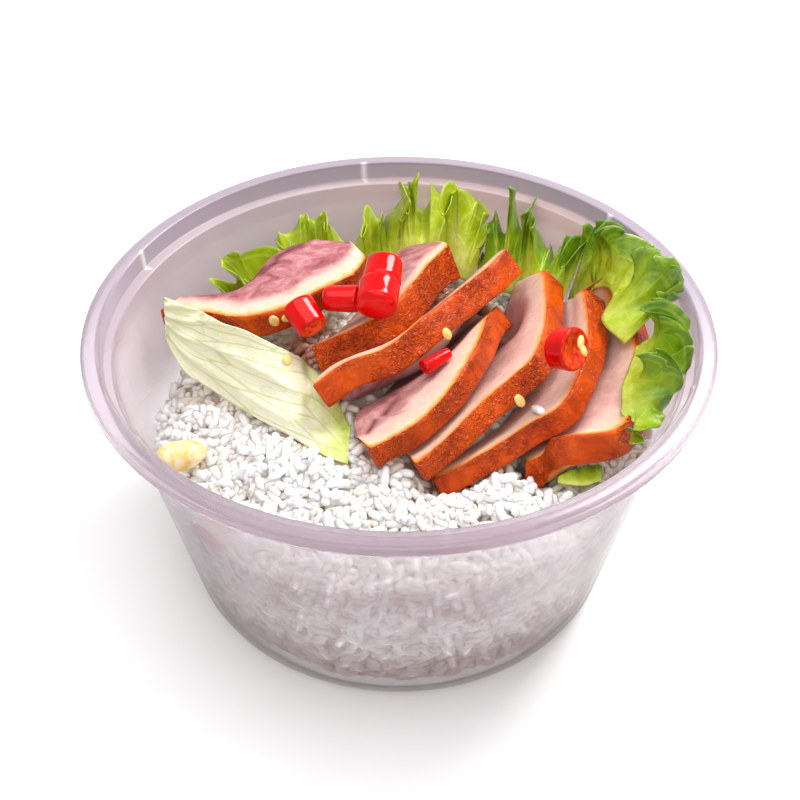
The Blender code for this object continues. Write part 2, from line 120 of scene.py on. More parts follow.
# %% Node helpers
def new_material(name):
    material = bpy.data.materials.new(name)
    material.use_nodes = True
    tree = material.node_tree
    shader = tree.nodes["Principled BSDF"]
    return material, tree, shader


def add_node(tree, kind, **values):
    node = tree.nodes.new("ShaderNode" + kind)
    for key, value in values.items():
        setattr(node, key, value)
    return node


def feed(tree, node, inputs):
    """Gives a node its inputs, by name or number: a link, a colour, a vector or a number."""
    for name, value in inputs.items():
        socket = node.inputs[name]
        if hasattr(value, "links"):
            tree.links.new(value, socket)
        elif isinstance(value, tuple):
            socket.default_value = (*value, 1.0)[:len(socket.default_value)]
        elif value is not None:
            socket.default_value = value


def object_place(tree):
    return add_node(tree, "TexCoord").outputs["Object"]


def object_axes(tree):
    """The X, Y and Z of the Object coordinates."""
    parts = add_node(tree, "SeparateXYZ")
    feed(tree, parts, {"Vector": object_place(tree)})
    return parts.outputs


def stretched(tree, place, scale):
    mapping = add_node(tree, "Mapping")
    feed(tree, mapping, {"Vector": place, "Scale": scale})
    return mapping.outputs["Vector"]


def object_noise(tree, scale, detail=3.0, roughness=0.55, stretch=None, distortion=0.0):
    """Noise in metres on Object coordinates: scale is how many features fit in a metre."""
    place = object_place(tree)
    if stretch:
        place = stretched(tree, place, stretch)
    pattern = add_node(tree, "TexNoise")
    feed(tree, pattern, {
        "Vector": place, "Scale": scale, "Detail": detail, "Roughness": roughness,
        "Distortion": distortion,
    })
    return pattern.outputs["Fac"]


def attribute(tree, name):
    node = add_node(tree, "Attribute", attribute_name=name)
    return node.outputs["Fac"]


def ramp(tree, factor, stops):
    """Colour ramp through (position, colour) stops."""
    node = add_node(tree, "ValToRGB")
    elements = node.color_ramp.elements
    while len(elements) < len(stops):
        elements.new(0.5)
    for element, (position, colour) in zip(elements, stops):
        element.position = position
        element.color = (*colour, 1.0)
    feed(tree, node, {"Fac": factor})
    return node.outputs["Color"]


def mix_colour(tree, factor, first, second, blend="MIX"):
    """Mixes two colours: a mix node's colour sockets are inputs 6 and 7 and output 2."""
    node = add_node(tree, "Mix", data_type="RGBA", blend_type=blend)
    feed(tree, node, {0: factor, 6: first, 7: second})
    return node.outputs[2]


def maths(tree, operation, first, second=0.5, third=None, clamp=False):
    node = add_node(tree, "Math", operation=operation, use_clamp=clamp)
    feed(tree, node, {0: first, 1: second, 2: third})
    return node.outputs[0]


def times(tree, first, second):
    return maths(tree, "MULTIPLY", first, second)


def span(tree, value, low, high, to_low=0.0, to_high=1.0):
    """Maps a range of a value to another, smoothly and within its ends."""
    node = add_node(tree, "MapRange", interpolation_type="SMOOTHSTEP")
    feed(tree, node, {"Value": value, "From Min": low, "From Max": high})
    feed(tree, node, {"To Min": to_low, "To Max": to_high})
    return node.outputs["Result"]


def add_bump(tree, shader, height, strength, distance, before=None):
    node = add_node(tree, "Bump")
    feed(tree, node, {"Height": height, "Strength": strength, "Distance": distance, "Normal": before})
    feed(tree, shader, {"Normal": node.outputs["Normal"]})
    return node.outputs["Normal"]


def rgb(red, green, blue):
    """Linear colour from screen values of 0 to 255."""
    return tuple(
        value / 255 / 12.92 if value <= 10 else ((value / 255 + 0.055) / 1.055) ** 2.4
        for value in (red, green, blue)
    )


# %% [markdown]
# ## The bowl
#
# The bowl is a thin moulded polypropylene shell: a flat base, a wall that leans out, a ledge
# that holds the lid and a turned-down lip. Everything is round, so a half section is spun.
# Six small upright ribs on the step inside the rim are points pushed inwards. The plastic
# lets light through but scatters it, so a clear share and a milky share are mixed.

# %% Measures of the bowl
RIM_RADIUS = 90.0 * MM
RIM_HEIGHT = 90.0 * MM
WALL = 1.1 * MM
BASE_RADIUS = 62.0 * MM
WALL_FOOT_RADIUS = 65.5 * MM
WALL_FOOT_HEIGHT = 5.0 * MM
WALL_TOP_RADIUS = 81.1 * MM
LEDGE_HEIGHT = 83.6 * MM
STEP_RADIUS = 84.0 * MM
SKIRT_DROP = 3.6 * MM
BOWL_STEPS = 360
RIB_COUNT = 6
RIB_RELIEF = 0.35 * MM
RIB_START = 98.0
RIB_HALF_WIDTH = 0.6


def wall_radius(z):
    """Inner radius of the bowl at a height."""
    if z >= LEDGE_HEIGHT:
        return STEP_RADIUS
    share = (max(z, WALL_FOOT_HEIGHT) - WALL_FOOT_HEIGHT) / (LEDGE_HEIGHT - WALL_FOOT_HEIGHT)
    return WALL_FOOT_RADIUS + (WALL_TOP_RADIUS - WALL_FOOT_RADIUS) * share


def keep_inside(point, gap):
    limit = wall_radius(point.z) - gap
    reach = math.hypot(point.x, point.y)
    if reach > limit:
        return Vector((point.x * limit / reach, point.y * limit / reach, point.z))
    return point


# %% The plastic
def frosted_plastic():
    """Milky and clear in one: the milky share grows up the wall and towards the back. Painted shade tints the
    back of the wall, grey on the left and warm on the right, and darkens the back of the lip and the foot.
    """
    material, tree, shader = new_material("frosted_polypropylene")
    across, depth, height = object_axes(tree)
    haze = object_noise(tree, 26.0, detail=2.0)
    back = span(tree, depth, -0.045, 0.05)
    top = span(tree, height, 0.030, 0.065)
    right = span(tree, across, -0.055, 0.035)
    # Painted shade: the upper back of the wall is tinted grey on the left and warm on the right, and made
    # milkier and less clear.
    back_painted_shade = times(tree, back, top)
    lavender = mix_colour(tree, haze, rgb(212, 196, 203), rgb(200, 182, 190))
    left_back_shade = mix_colour(tree, haze, rgb(196, 180, 185), rgb(180, 165, 172))
    right_back_shade = mix_colour(tree, haze, rgb(230, 202, 202), rgb(216, 188, 190))
    tint = mix_colour(tree, back_painted_shade, lavender, mix_colour(tree, right, left_back_shade, right_back_shade))
    slant = add_node(tree, "LayerWeight")
    feed(tree, slant, {"Blend": 0.5})
    # Painted shade: the lip is darker at the back than at the front.
    lip = mix_colour(tree, back, rgb(216, 202, 212), rgb(182, 168, 181))
    tint = mix_colour(tree, span(tree, height, 0.0835, 0.0855), tint, lip)
    tint = mix_colour(tree, span(tree, slant.outputs["Facing"], 0.6, 1.0, 0.0, 0.5), tint, rgb(128, 106, 114))
    # Painted shade: the wall darkens towards its foot, where the base meets the floor.
    tint = mix_colour(tree, span(tree, height, 0.026, 0.002, 0.0, 0.8), tint, rgb(126, 104, 112))
    clear = maths(tree, "SUBTRACT", 0.85, times(tree, back_painted_shade, 0.55))
    milky = span(tree, height, 0.016, 0.060, 0.15, 0.44)
    rim = span(tree, height, 0.076, 0.085, 0.0, 0.46)
    edge_on = span(tree, slant.outputs["Facing"], 0.45, 1.0, 0.0, 0.40)
    milky = maths(tree, "ADD", maths(tree, "ADD", milky, rim), edge_on)
    milky = maths(tree, "ADD", milky, times(tree, back_painted_shade, 0.45), clamp=True)
    rib = attribute(tree, "rib")
    feed(tree, shader, {
        "Base Color": mix_colour(tree, rib, tint, rgb(246, 242, 246)), "IOR": 1.35, "Roughness": 0.19,
        "Transmission Weight": clear,
        "Alpha": maths(tree, "MAXIMUM", milky, times(tree, rib, 0.9)),
    })
    return material


# %% Spin the half section
def bowl_profile():
    ledge_top = LEDGE_HEIGHT + 0.6 * MM
    lip = RIM_HEIGHT
    return [
        (0.0, WALL),
        (BASE_RADIUS - 1.5 * MM, WALL),
        (WALL_FOOT_RADIUS - 1.4 * MM, WALL + 1.2 * MM),
        (WALL_FOOT_RADIUS, WALL_FOOT_HEIGHT),
        (WALL_TOP_RADIUS, LEDGE_HEIGHT),
        (STEP_RADIUS, ledge_top),
        (STEP_RADIUS + 0.4 * MM, lip - 0.3 * MM),
        (STEP_RADIUS + 1.0 * MM, lip),
        (RIM_RADIUS - 1.6 * MM, lip - 0.3 * MM),
        (RIM_RADIUS - 0.3 * MM, lip - 1.2 * MM),
        (RIM_RADIUS, lip - 2.2 * MM),
        (RIM_RADIUS, lip - SKIRT_DROP),
        (RIM_RADIUS - WALL, lip - SKIRT_DROP),
        (RIM_RADIUS - WALL - 0.3 * MM, lip - 1.8 * MM),
        (STEP_RADIUS + 1.6 * MM, lip - 1.3 * MM),
        (STEP_RADIUS + 1.1 * MM, ledge_top - 1.0 * MM),
        (WALL_TOP_RADIUS + WALL, LEDGE_HEIGHT - 1.1 * MM),
        (WALL_FOOT_RADIUS + WALL + 0.1 * MM, WALL_FOOT_HEIGHT),
        (WALL_FOOT_RADIUS - 0.3 * MM, 1.4 * MM),
        (BASE_RADIUS, 0.0),
        (0.0, 0.0),
    ]


bm = bmesh.new()
outline = [bm.verts.new((radius, 0.0, height)) for radius, height in bowl_profile()]
section = [bm.edges.new(pair) for pair in zip(outline, outline[1:])]
bmesh.ops.spin(
    bm, geom=outline + section, cent=(0, 0, 0), axis=(0, 0, 1), angle=2 * math.pi,
    steps=BOWL_STEPS, use_merge=True, use_duplicate=False,
)
bmesh.ops.remove_doubles(bm, verts=bm.verts, dist=0.00002)
bmesh.ops.recalc_face_normals(bm, faces=bm.faces)
corners = [edge for edge in bm.edges if edge.calc_face_angle(0.0) > 0.35]
bmesh.ops.bevel(bm, geom=corners, offset=0.25 * MM, segments=2, profile=0.5, affect="EDGES", material=-1)
rib = bm.verts.layers.float.new("rib")
rib_points = 0
for vert in bm.verts:
    reach = math.hypot(vert.co.x, vert.co.y)
    turn = math.degrees(math.atan2(vert.co.y, vert.co.x)) - RIB_START
    off = abs((turn + 180.0 / RIB_COUNT) % (360.0 / RIB_COUNT) - 180.0 / RIB_COUNT)
    if off < RIB_HALF_WIDTH and abs(reach - STEP_RADIUS) < 1.2 * MM and vert.co.z > LEDGE_HEIGHT:
        vert.co.x *= 1.0 - RIB_RELIEF / reach
        vert.co.y *= 1.0 - RIB_RELIEF / reach
        vert[rib] = 1.0
        rib_points += 1
print("points pushed inwards for the ribs:", rib_points)
bowl = make_piece("bowl_shell", bm, frosted_plastic())
settle_in(bowl, "bowl")

# %% [markdown]
# ## Roast slices
#
# Each slice is a slab cut across a roast breast: a band of glazed skin along one side, a
# line of fat under it and pale meat beyond. The cut face spans the line of the skin and an
# inner line, and the slab grows behind it. The lower slices tuck under the upper ones.
# Three attributes travel with the mesh: how far a point lies from the skin, in millimetres,
# how much of it is lean meat, and where a shallow crack runs along the cut face. The material
# turns them into colour, and paints the crack dark as the shade in it.

# %% Lines of the slices
SLICES = {
    "meat_slice_1": {
        "skin": [(-9.5, 35, 86), (-14, 24, 86.5), (-24, 16, 86.5), (-33.5, 9, 85.5),
                 (-46.5, 7, 83.5), (-60.5, 13.5, 81), (-72, 17, 79)],
        "meat": [(-15, 42, 87), (-27, 43.5, 87), (-38, 37, 86), (-49, 25, 82), (-67, 24, 78.5)],
        "droop": 0.0, "thickness": (8.0, 8.5), "fat": 6.0, "lean": 1.0, "crack": (0.02, 0.85, 0.97, 2.6),
    },
    "meat_slice_2": {
        "skin": [(15.5, 38.5, 88), (9.5, 26.5, 89.5), (4, 15, 90), (-4, 3, 88.5),
                 (-14, -1.5, 85.5), (-25.5, -4, 81.5)],
        "meat": [(12, 50.5, 83), (-1, 49.5, 80), (-7, 36.5, 77), (-14.5, 22, 74), (-25, 5, 74)],
        "droop": 2.0, "thickness": (11.5, 8.0), "fat": 5.0, "lean": 0.9,
    },
    "meat_slice_3": {
        "skin": [(33, 33.5, 90), (25.5, 21, 91), (15.5, 8, 91.5), (8, -1.5, 91.5),
                 (-3.5, -14.5, 89.5), (-14.5, -17.5, 87), (-24, -23, 82.5)],
        "meat": [(30, 44.5, 82), (12, 28, 76), (1, 11, 76), (-16.5, -5, 81), (-24, -12, 79)],
        "droop": 3.0, "thickness": (9.0, 8.0), "fat": 6.0, "lean": 0.9,
    },
    "meat_slice_4": {
        "skin": [(30, 24, 83.5), (27, 11, 85), (24, -4, 86.5), (19.5, -17.5, 87.5),
                 (13.5, -28.5, 85), (5, -37, 81.5), (-8, -43, 77)],
        "meat": [(21, 31, 74), (6, 7, 72), (-4, -6, 72), (-12.5, -21, 73.5), (-12, -32, 75)],
        "droop": 3.0, "thickness": (8.5, 6.5), "fat": 8.0, "lean": 0.8, "crack": (0.62, 0.95, 0.55, 1.3),
    },
    "meat_slice_5": {
        "skin": [(45, 32.5, 83), (43, 5.5, 85), (38.5, -11.5, 85), (33, -18.5, 84),
                 (23.5, -27.5, 81.5), (14, -37.5, 78), (4.5, -46, 74)],
        "meat": [(37, 42, 73), (29.5, 20, 70), (23.5, 3, 68), (11.5, -17, 68), (1.5, -34, 70.5)],
        "droop": 2.0, "thickness": (8.5, 6.0), "fat": 9.0, "lean": 0.25,
    },
    "meat_slice_6": {
        "skin": [(56, 22.5, 83), (55, 1.5, 84), (52, -13, 84), (45, -28.5, 81.5),
                 (36, -32.5, 77.5), (24, -38.5, 72.5), (9.5, -43.5, 68)],
        "meat": [(50, 31, 72), (45, 10, 71), (39, -6, 70), (26, -22, 66), (8, -35, 64)],
        "droop": 2.0, "thickness": (8.0, 6.0), "fat": 9.0, "lean": 0.25,
    },
    "meat_slice_7": {
        "skin": [(64, 29, 84), (67.5, 10, 84), (68, -8, 83), (65.5, -24, 81),
                 (60.5, -36.5, 80), (52, -38.5, 79), (43.5, -38, 78.5), (34.5, -37.5, 77.5)],
        "meat": [(57, 33, 75), (55, 8, 72), (51, -10, 71), (45, -22, 71), (36, -25, 70)],
        "droop": 0.0, "thickness": (8.0, 9.0), "fat": 7.0, "lean": 0.3,
    },
}
SLICE_COLUMNS = 60
SLICE_ROWS = 12
SLICE_LAYERS = 6
SLICE_REACH = 3.5 * MM
SLICE_END = 0.03
FAT_BLEND = 4.0
CRACK_RELIEF = 0.7
SWELL_SIZE = 9.0 * MM
SWELL_RELIEF = 0.32
TOPPING_GAP = 0.5 * MM


# %% Look up from below, to tuck one piece under another
def search_tree(things):
    """One search tree over several pieces, as they are after their modifiers."""
    graph = bpy.context.evaluated_depsgraph_get()
    bm = bmesh.new()
    for thing in things:
        bm.from_object(thing, graph)
    tree = BVHTree.FromBMesh(bm)
    bm.free()
    return tree


def height_under(above, x, y, reach):
    """Lowest underside round a place of what lies over it, less a gap, or None."""
    found = []
    for ring in (0.0, 0.5 * reach, reach):
        for turn in range(8 if ring else 1):
            angle = turn * math.pi / 4
            start = Vector((x + ring * math.cos(angle), y + ring * math.sin(angle), 0.02))
            hit = above.ray_cast(start, Vector((0.0, 0.0, 1.0)))[0]
            if hit:
                found.append(hit.z)
    return min(found) - TOPPING_GAP if found else None


def tuck_under(point, above, reach):
    under = height_under(above, point.x, point.y, reach)
    if under is not None and point.z > under:
        return Vector((point.x, point.y, under))
    return point


# %% Wrinkles of the skin
def leather(tree, per_metre, narrow):
    """Thin winding creases, 1 in a crease, where soft noise crosses its middle value."""
    soft = object_noise(tree, per_metre, detail=2.5, roughness=0.5, distortion=0.5)
    off = maths(tree, "ABSOLUTE", maths(tree, "SUBTRACT", soft, 0.5))
    return span(tree, off, 0.0, narrow, 1.0, 0.0)


# %% Colours of the roast
def roast_meat():
    material, tree, shader = new_material("roast_duck")
    skin_far = attribute(tree, "from_skin")
    lean = attribute(tree, "lean")
    crack = attribute(tree, "crack")
    waver = maths(tree, "SUBTRACT", object_noise(tree, 420.0, detail=3.0), 0.5)
    far = times(tree, skin_far, maths(tree, "ADD", times(tree, waver, 1.5), 1.0))
    blotch = object_noise(tree, 85.0, detail=6.0, roughness=0.66, distortion=0.6)
    speckle = object_noise(tree, 1500.0, detail=2.0)
    creases = maths(tree, "MAXIMUM", leather(tree, 300.0, 0.10), leather(tree, 560.0, 0.12))
    patch = span(tree, object_noise(tree, 55.0, detail=2.0), 0.42, 0.60, 0.15, 1.0)
    glaze = ramp(tree, blotch, [
        (0.32, rgb(136, 38, 0)), (0.46, rgb(180, 60, 0)), (0.58, rgb(206, 76, 0)),
        (0.72, rgb(226, 98, 4)),
    ])
    glaze = mix_colour(tree, span(tree, speckle, 0.60, 0.76, 0.0, 0.1), glaze, rgb(228, 120, 40))
    # Painted shade: the skin is darkened in patches of its creases.
    folds = times(tree, creases, times(tree, patch, 0.25))
    glaze = mix_colour(tree, folds, glaze, rgb(132, 38, 4))
    face = ramp(tree, maths(tree, "DIVIDE", far, 20.0), [
        (0.00, rgb(186, 72, 8)), (0.035, rgb(228, 120, 26)), (0.075, rgb(238, 172, 104)),
        (0.13, rgb(236, 200, 170)), (0.30, rgb(228, 192, 178)), (1.0, rgb(212, 168, 160)),
    ])
    strands = object_noise(tree, 130.0, detail=7.0, roughness=0.68, stretch=(1.0, 1.5, 1.0), distortion=1.0)
    flesh = ramp(tree, strands, [
        (0.28, rgb(126, 52, 60)), (0.44, rgb(166, 98, 104)), (0.58, rgb(188, 126, 128)),
        (0.74, rgb(214, 172, 170)),
    ])
    face = mix_colour(tree, lean, face, flesh)
    shade = ramp(tree, strands, [(0.28, (0.84, 0.74, 0.72)), (0.58, (1.0, 1.0, 1.0))])
    face = mix_colour(tree, 0.7, face, shade, "MULTIPLY")
    # Painted shade: the crack along the cut face is darkened as if shade lay in it.
    face = mix_colour(tree, times(tree, crack, 0.85), face, rgb(92, 22, 24))
    on_face = span(tree, far, 0.10, 0.6)
    feed(tree, shader, {
        "Base Color": mix_colour(tree, on_face, glaze, face),
        "Roughness": span(tree, on_face, 0.0, 1.0, 0.26, 0.42), "Specular IOR Level": 0.22,
        "Subsurface Weight": 0.1, "Subsurface Radius": (1.0, 0.45, 0.3), "Subsurface Scale": 0.0012,
    })
    skin_only = maths(tree, "SUBTRACT", 1.0, on_face)
    depth = times(tree, times(tree, creases, patch), skin_only)
    wrinkled = add_bump(tree, shader, maths(tree, "SUBTRACT", 1.0, depth), 0.9, 0.0008)
    grain = object_noise(tree, 760.0, detail=4.0, roughness=0.6)
    rough = add_bump(tree, shader, grain, 0.28, 0.0006, before=wrinkled)
    add_bump(tree, shader, strands, 0.25, 0.0009, before=rough)
    return material


# %% Build one slab
def make_slice(name, shape, above, material):
    back, front = shape["thickness"]
    bm = bmesh.new()
    bmesh.ops.create_grid(bm, x_segments=SLICE_COLUMNS, y_segments=SLICE_ROWS, size=0.5)
    from_skin = bm.verts.layers.float.new("from_skin")
    lean = bm.verts.layers.float.new("lean")
    crack = bm.verts.layers.float.new("crack")
    through = bm.verts.layers.float_vector.new("through")
    seed = sum(ord(letter) for letter in name) % 17
    for vert in bm.verts:
        u = vert.co.x + 0.5
        v = vert.co.y + 0.5
        skin = smooth_point(shape["skin"], u)
        meat = smooth_point(shape["meat"], u)
        width = (meat - skin).length / MM
        end = min(smoothstep(0.0, SLICE_END, u), smoothstep(0.0, SLICE_END, 1.0 - u))
        vert[from_skin] = v * width * end
        fat = shape["fat"] * (1.0 + 0.35 * wander(skin, SWELL_SIZE, seed))
        vert[lean] = shape["lean"] * smoothstep(fat, fat + FAT_BLEND, v * width) * end
        if "crack" in shape:
            start, stop, level, wide = shape["crack"]
            bend = level + 0.10 * math.sin(9.0 * u) + 0.03 * math.sin(31.0 * u)
            along = smoothstep(start, start + 0.05, u) * smoothstep(0.0, 0.05, stop - u)
            vert[crack] = along * (1.0 - smoothstep(0.3 * wide, wide, abs(v - bend) * width))
        vert.co = skin.lerp(meat, v) - Vector((0.0, 0.0, shape["droop"] * MM * v**2))
    bm.normal_update()
    for vert in bm.verts:
        u = (vert.index % (SLICE_COLUMNS + 1)) / SLICE_COLUMNS
        vert[through] = vert.normal * (back + (front - back) * u) * MM
        vert.co += vert.normal * vert[crack] * CRACK_RELIEF * MM
    if above:
        tree = search_tree(above)
        for vert in bm.verts:
            vert.co = tuck_under(vert.co, tree, SLICE_REACH)
    relax(bm, 0.5)
    grown = bmesh.ops.extrude_face_region(bm, geom=bm.faces[:])["geom"]
    far_side = {item for item in grown if isinstance(item, bmesh.types.BMVert)}
    for vert in far_side:
        vert.co += vert[through]
    across = [edge for edge in bm.edges if (edge.verts[0] in far_side) != (edge.verts[1] in far_side)]
    bmesh.ops.subdivide_edges(bm, edges=across, cuts=SLICE_LAYERS - 1, use_grid_fill=True)
    bmesh.ops.recalc_face_normals(bm, faces=bm.faces)
    bm.normal_update()
    for vert in bm.verts:
        swell = wander(vert.co, SWELL_SIZE, seed) + 0.4 * wander(vert.co, 0.5 * SWELL_SIZE, seed + 5)
        vert.co += vert.normal * SWELL_RELIEF * swell * MM
    bm.verts.layers.float_vector.remove(bm.verts.layers.float_vector["through"])
    slab = make_piece(name + "_roast", bm, material)
    add_subdivision(slab)
    return slab


roast = roast_meat()
slabs = []
for node, shape in SLICES.items():
    slabs.append(make_slice(node, shape, slabs, roast))
    settle_in(slabs[-1], node)

# %% [markdown]
# ## Leaves
#
# Lettuce is a thin sheet whose edge grows faster than its middle, so the edge has to
# ruffle. Each column of the sheet is grown upwards from its foot and leans more and more,
# one way and then the other, with folds of three sizes. The leaning piles the edge up
# into curls, as in a real leaf. The pale cabbage leaf only bends and has veins.

# %% Lines of the leaves
LEAVES = {
    "cabbage_leaf": {
        "lower": [(-69, 6, 77), (-63.5, -1.5, 71), (-52, -10.5, 68.5), (-39, -21.5, 68.5),
                  (-27, -30.5, 68), (-20, -36, 68), (-14, -39, 68)],
        "upper": [(-69, 12.5, 87), (-60, 8, 86), (-53, 3, 86), (-42, -3.5, 85.5),
                  (-32, -5.5, 81), (-26, -4, 74.5), (-19, -13, 71.5), (-13.5, -26, 69.5)],
        "wave": 0.8, "count": 4.0, "phase": 0.0, "green": "cabbage", "tucked": True,
    },
    "lettuce_left": {
        "lower": [(-57, 33, 68), (-47, 43, 66), (-38, 51, 66), (-20, 54, 68), (-5, 54, 70)],
        "upper": [(-60, 25, 79), (-51, 38, 84), (-39, 56, 86), (-21, 65, 87), (-4, 66, 86)],
        "wave": 2.6, "count": 6.0, "phase": 0.4, "green": "pale", "tucked": True, "height": 0.84,
    },
    "lettuce_back": {
        "lower": [(-3, 54, 74), (6, 57, 74), (15, 56, 74), (24, 51, 74)],
        "upper": [(-3, 67, 86), (6, 74, 90), (18, 70, 90), (28, 57, 87)],
        "wave": 3.0, "count": 4.0, "phase": 1.0, "green": "pale", "tucked": False,
    },
    "lettuce_middle": {
        "lower": [(30, 47, 73), (38, 45, 73), (46, 42, 73), (54, 37, 73)],
        "upper": [(27, 55, 87), (39, 67, 92), (48, 55, 89), (60, 49, 90)],
        "wave": 2.4, "count": 3.5, "phase": 2.0, "green": "deep", "tucked": False, "height": 0.86,
    },
    "lettuce_right": {
        "lower": [(61, 39, 75), (68, 31, 84), (69.5, 19, 88.5), (65, 6, 89), (69, -3, 88.5)],
        "upper": [(63, 44, 92), (69, 34, 95), (75, 24, 96), (81, 10, 97), (78, 2, 95.5)],
        "wave": 1.8, "count": 4.5, "phase": 0.8, "green": "deep", "tucked": False,
    },
    "lettuce_front": {
        "lower": [(73, -9, 88), (70, -17, 87), (67, -26, 86), (67, -38, 81)],
        "upper": [(79, -6, 94), (81, -14, 94), (77, -26, 91), (68, -42, 82)],
        "wave": 1.6, "count": 3.5, "phase": 2.6, "green": "deep", "tucked": False,
    },
    "lettuce_tip": {
        "lower": [(43, -45, 67), (50, -45, 66), (55, -43, 66)],
        "upper": [(44, -36, 67.5), (50, -37, 67), (56, -38, 66.5)],
        "wave": 1.0, "count": 1.5, "phase": 0.0, "green": "deep", "tucked": True,
    },
}
LEAF_WALL_GAP = 1.2 * MM
LEAF_REACH = 1.0 * MM
LEAF_CLEARANCE = 0.8 * MM
LEAF_THICKNESS = 0.35 * MM
LETTUCE_GRID = (230, 24)
OTHER_GRIDS = {"cabbage_leaf": (130, 40), "lettuce_tip": (40, 12)}
FOLDS = ((22.0, 0.75, 1.2), (9.0, 0.7, 1.6), (3.6, 0.45, 2.4))
LEAF_TOP = 100.6 * MM
FOOT_INWARD = 6.0 * MM
FOOT_DOWN = 5.0 * MM
LEAF_OVERRUN = 0.13


# %% Leaf greens
def vein_net(tree, along, up):
    """Thin lines between stretched cells: 1 on a vein, 0 between veins."""
    place = add_node(tree, "Attribute", attribute_name="grown").outputs["Vector"]
    cells = add_node(tree, "TexVoronoi", feature="DISTANCE_TO_EDGE", voronoi_dimensions="2D")
    place = stretched(tree, place, (1.0 / along, 1.0 / up, 1.0))
    feed(tree, cells, {"Vector": place, "Scale": 1.0, "Randomness": 0.9})
    return span(tree, cells.outputs["Distance"], 0.0, 0.09, 1.0, 0.0)


def leaf_material(name, stops, vein, gloss, net, vein_share):
    material, tree, shader = new_material(name)
    edge = attribute(tree, "towards_edge")
    mottled = object_noise(tree, 220.0, detail=4.0, roughness=0.6)
    mixed = maths(tree, "ADD", times(tree, edge, 0.62), times(tree, mottled, 0.9))
    colour = ramp(tree, maths(tree, "SUBTRACT", mixed, 0.30), stops)
    coarse = vein_net(tree, *net)
    fine = vein_net(tree, 0.36 * net[0], 0.36 * net[1])
    ribs = maths(tree, "MAXIMUM", coarse, times(tree, fine, 0.45))
    colour = mix_colour(tree, times(tree, ribs, vein_share), colour, vein)
    feed(tree, shader, {
        "Base Color": colour, "Roughness": gloss,
        "Subsurface Weight": 0.2, "Subsurface Radius": (1.0, 1.0, 0.25), "Subsurface Scale": 0.0014,
    })
    blisters = object_noise(tree, 620.0, detail=3.0)
    rough = add_bump(tree, shader, blisters, 0.35, 0.0005)
    add_bump(tree, shader, ribs, 0.3, 0.0003, before=rough)
    return material


LEAF_MATERIALS = {
    "pale": leaf_material(
        "lettuce_pale_green",
        [(0.05, rgb(218, 220, 146)), (0.30, rgb(190, 198, 68)), (0.55, rgb(164, 180, 20)),
         (0.80, rgb(146, 168, 4)), (0.98, rgb(112, 144, 2))],
        rgb(204, 210, 100), 0.38, (5.0, 12.0), 0.35,
    ),
    "deep": leaf_material(
        "lettuce_deep_green",
        [(0.05, rgb(200, 208, 96)), (0.30, rgb(170, 190, 34)), (0.55, rgb(130, 162, 8)),
         (0.80, rgb(84, 126, 4)), (0.98, rgb(40, 80, 4))],
        rgb(180, 194, 60), 0.36, (5.0, 12.0), 0.3,
    ),
    "cabbage": leaf_material(
        "cabbage_pale",
        [(0.05, rgb(236, 230, 208)), (0.4, rgb(230, 228, 192)), (0.7, rgb(208, 216, 128)),
         (0.95, rgb(164, 190, 56))],
        rgb(172, 186, 116), 0.30, (26.0, 5.5), 0.6,
    ),
}


# %% Lines that run on past their ends
def past_ends(points, u):
    inside = min(max(u, 0.0), 1.0)
    point = smooth_point(points, inside)
    if u == inside:
        return point
    nearer = smooth_point(points, inside - math.copysign(0.02, u - inside))
    return point + (point - nearer) * (abs(u - inside) / 0.02)


def line_length(points):
    places = [smooth_point(points, k / 20) for k in range(21)]
    return sum((b - a).length for a, b in zip(places, places[1:]))


def clear_of(point, tree, gap):
    """Moves a point that lies in a solid, or right at it, just out of it."""
    place, normal, _, _ = tree.find_nearest(point, 6.0 * MM)
    if place is not None and (point - place).dot(normal) < gap:
        return place + normal * gap
    return point


# %% Grow one column of a leaf
def column_of_leaf(shape, u, rows, length, curl):
    """Points from the foot of a leaf to its edge, at a share of its length."""
    low = past_ends(shape["lower"], u)
    high = past_ends(shape["upper"], u)
    if shape["wave"] > 1.0:
        inward = Vector((-low.x, -low.y, 0.0)).normalized()
        low += inward * FOOT_INWARD - Vector((0.0, 0.0, FOOT_DOWN))
    step = past_ends(shape["lower"], u + 0.02) - past_ends(shape["lower"], u - 0.02)
    run = step.normalized()
    up = (high - low).normalized()
    out = step.cross(up).normalized()
    way = u * length / MM
    phase = shape["phase"]
    waves = []
    for size, angle, power in FOLDS:
        turn = 2 * math.pi * way / size + 5.0 * noise.noise(Vector((0.45 * way / size, size, phase)))
        swell = 1.0 + 0.9 * noise.noise(Vector((0.8 * way / size, 3.0, phase + size)))
        waves.append((curl * angle * swell * math.sin(turn), curl * angle * math.cos(turn), power))
    lobe = 1.0 - 0.09 * curl + curl * 0.34 * noise.noise(Vector((way / 10.0, 8.0, phase)))
    lobe = min(lobe, 1.04) + curl * 0.09 * noise.noise(Vector((way / 2.0, 5.0, phase)))
    stride = (high - low).length * lobe * (1.0 + 0.06 * curl) * shape.get("height", 1.0) / rows
    turn = 2 * math.pi * shape["count"] * u + phase
    ruffle = shape["wave"] * MM * (math.sin(turn) + 0.4 * math.sin(2.3 * turn + 1.0))
    points = [low]
    point = low.copy()
    for row in range(1, rows + 1):
        v = row / rows
        bend = sum(lean * v**power for lean, _, power in waves)
        slide = sum(side * v**power for _, side, power in waves)
        point += (up * math.cos(bend) + out * math.sin(bend) + run * 0.20 * slide) * stride
        points.append(point + out * ruffle * v**1.5)
    return points


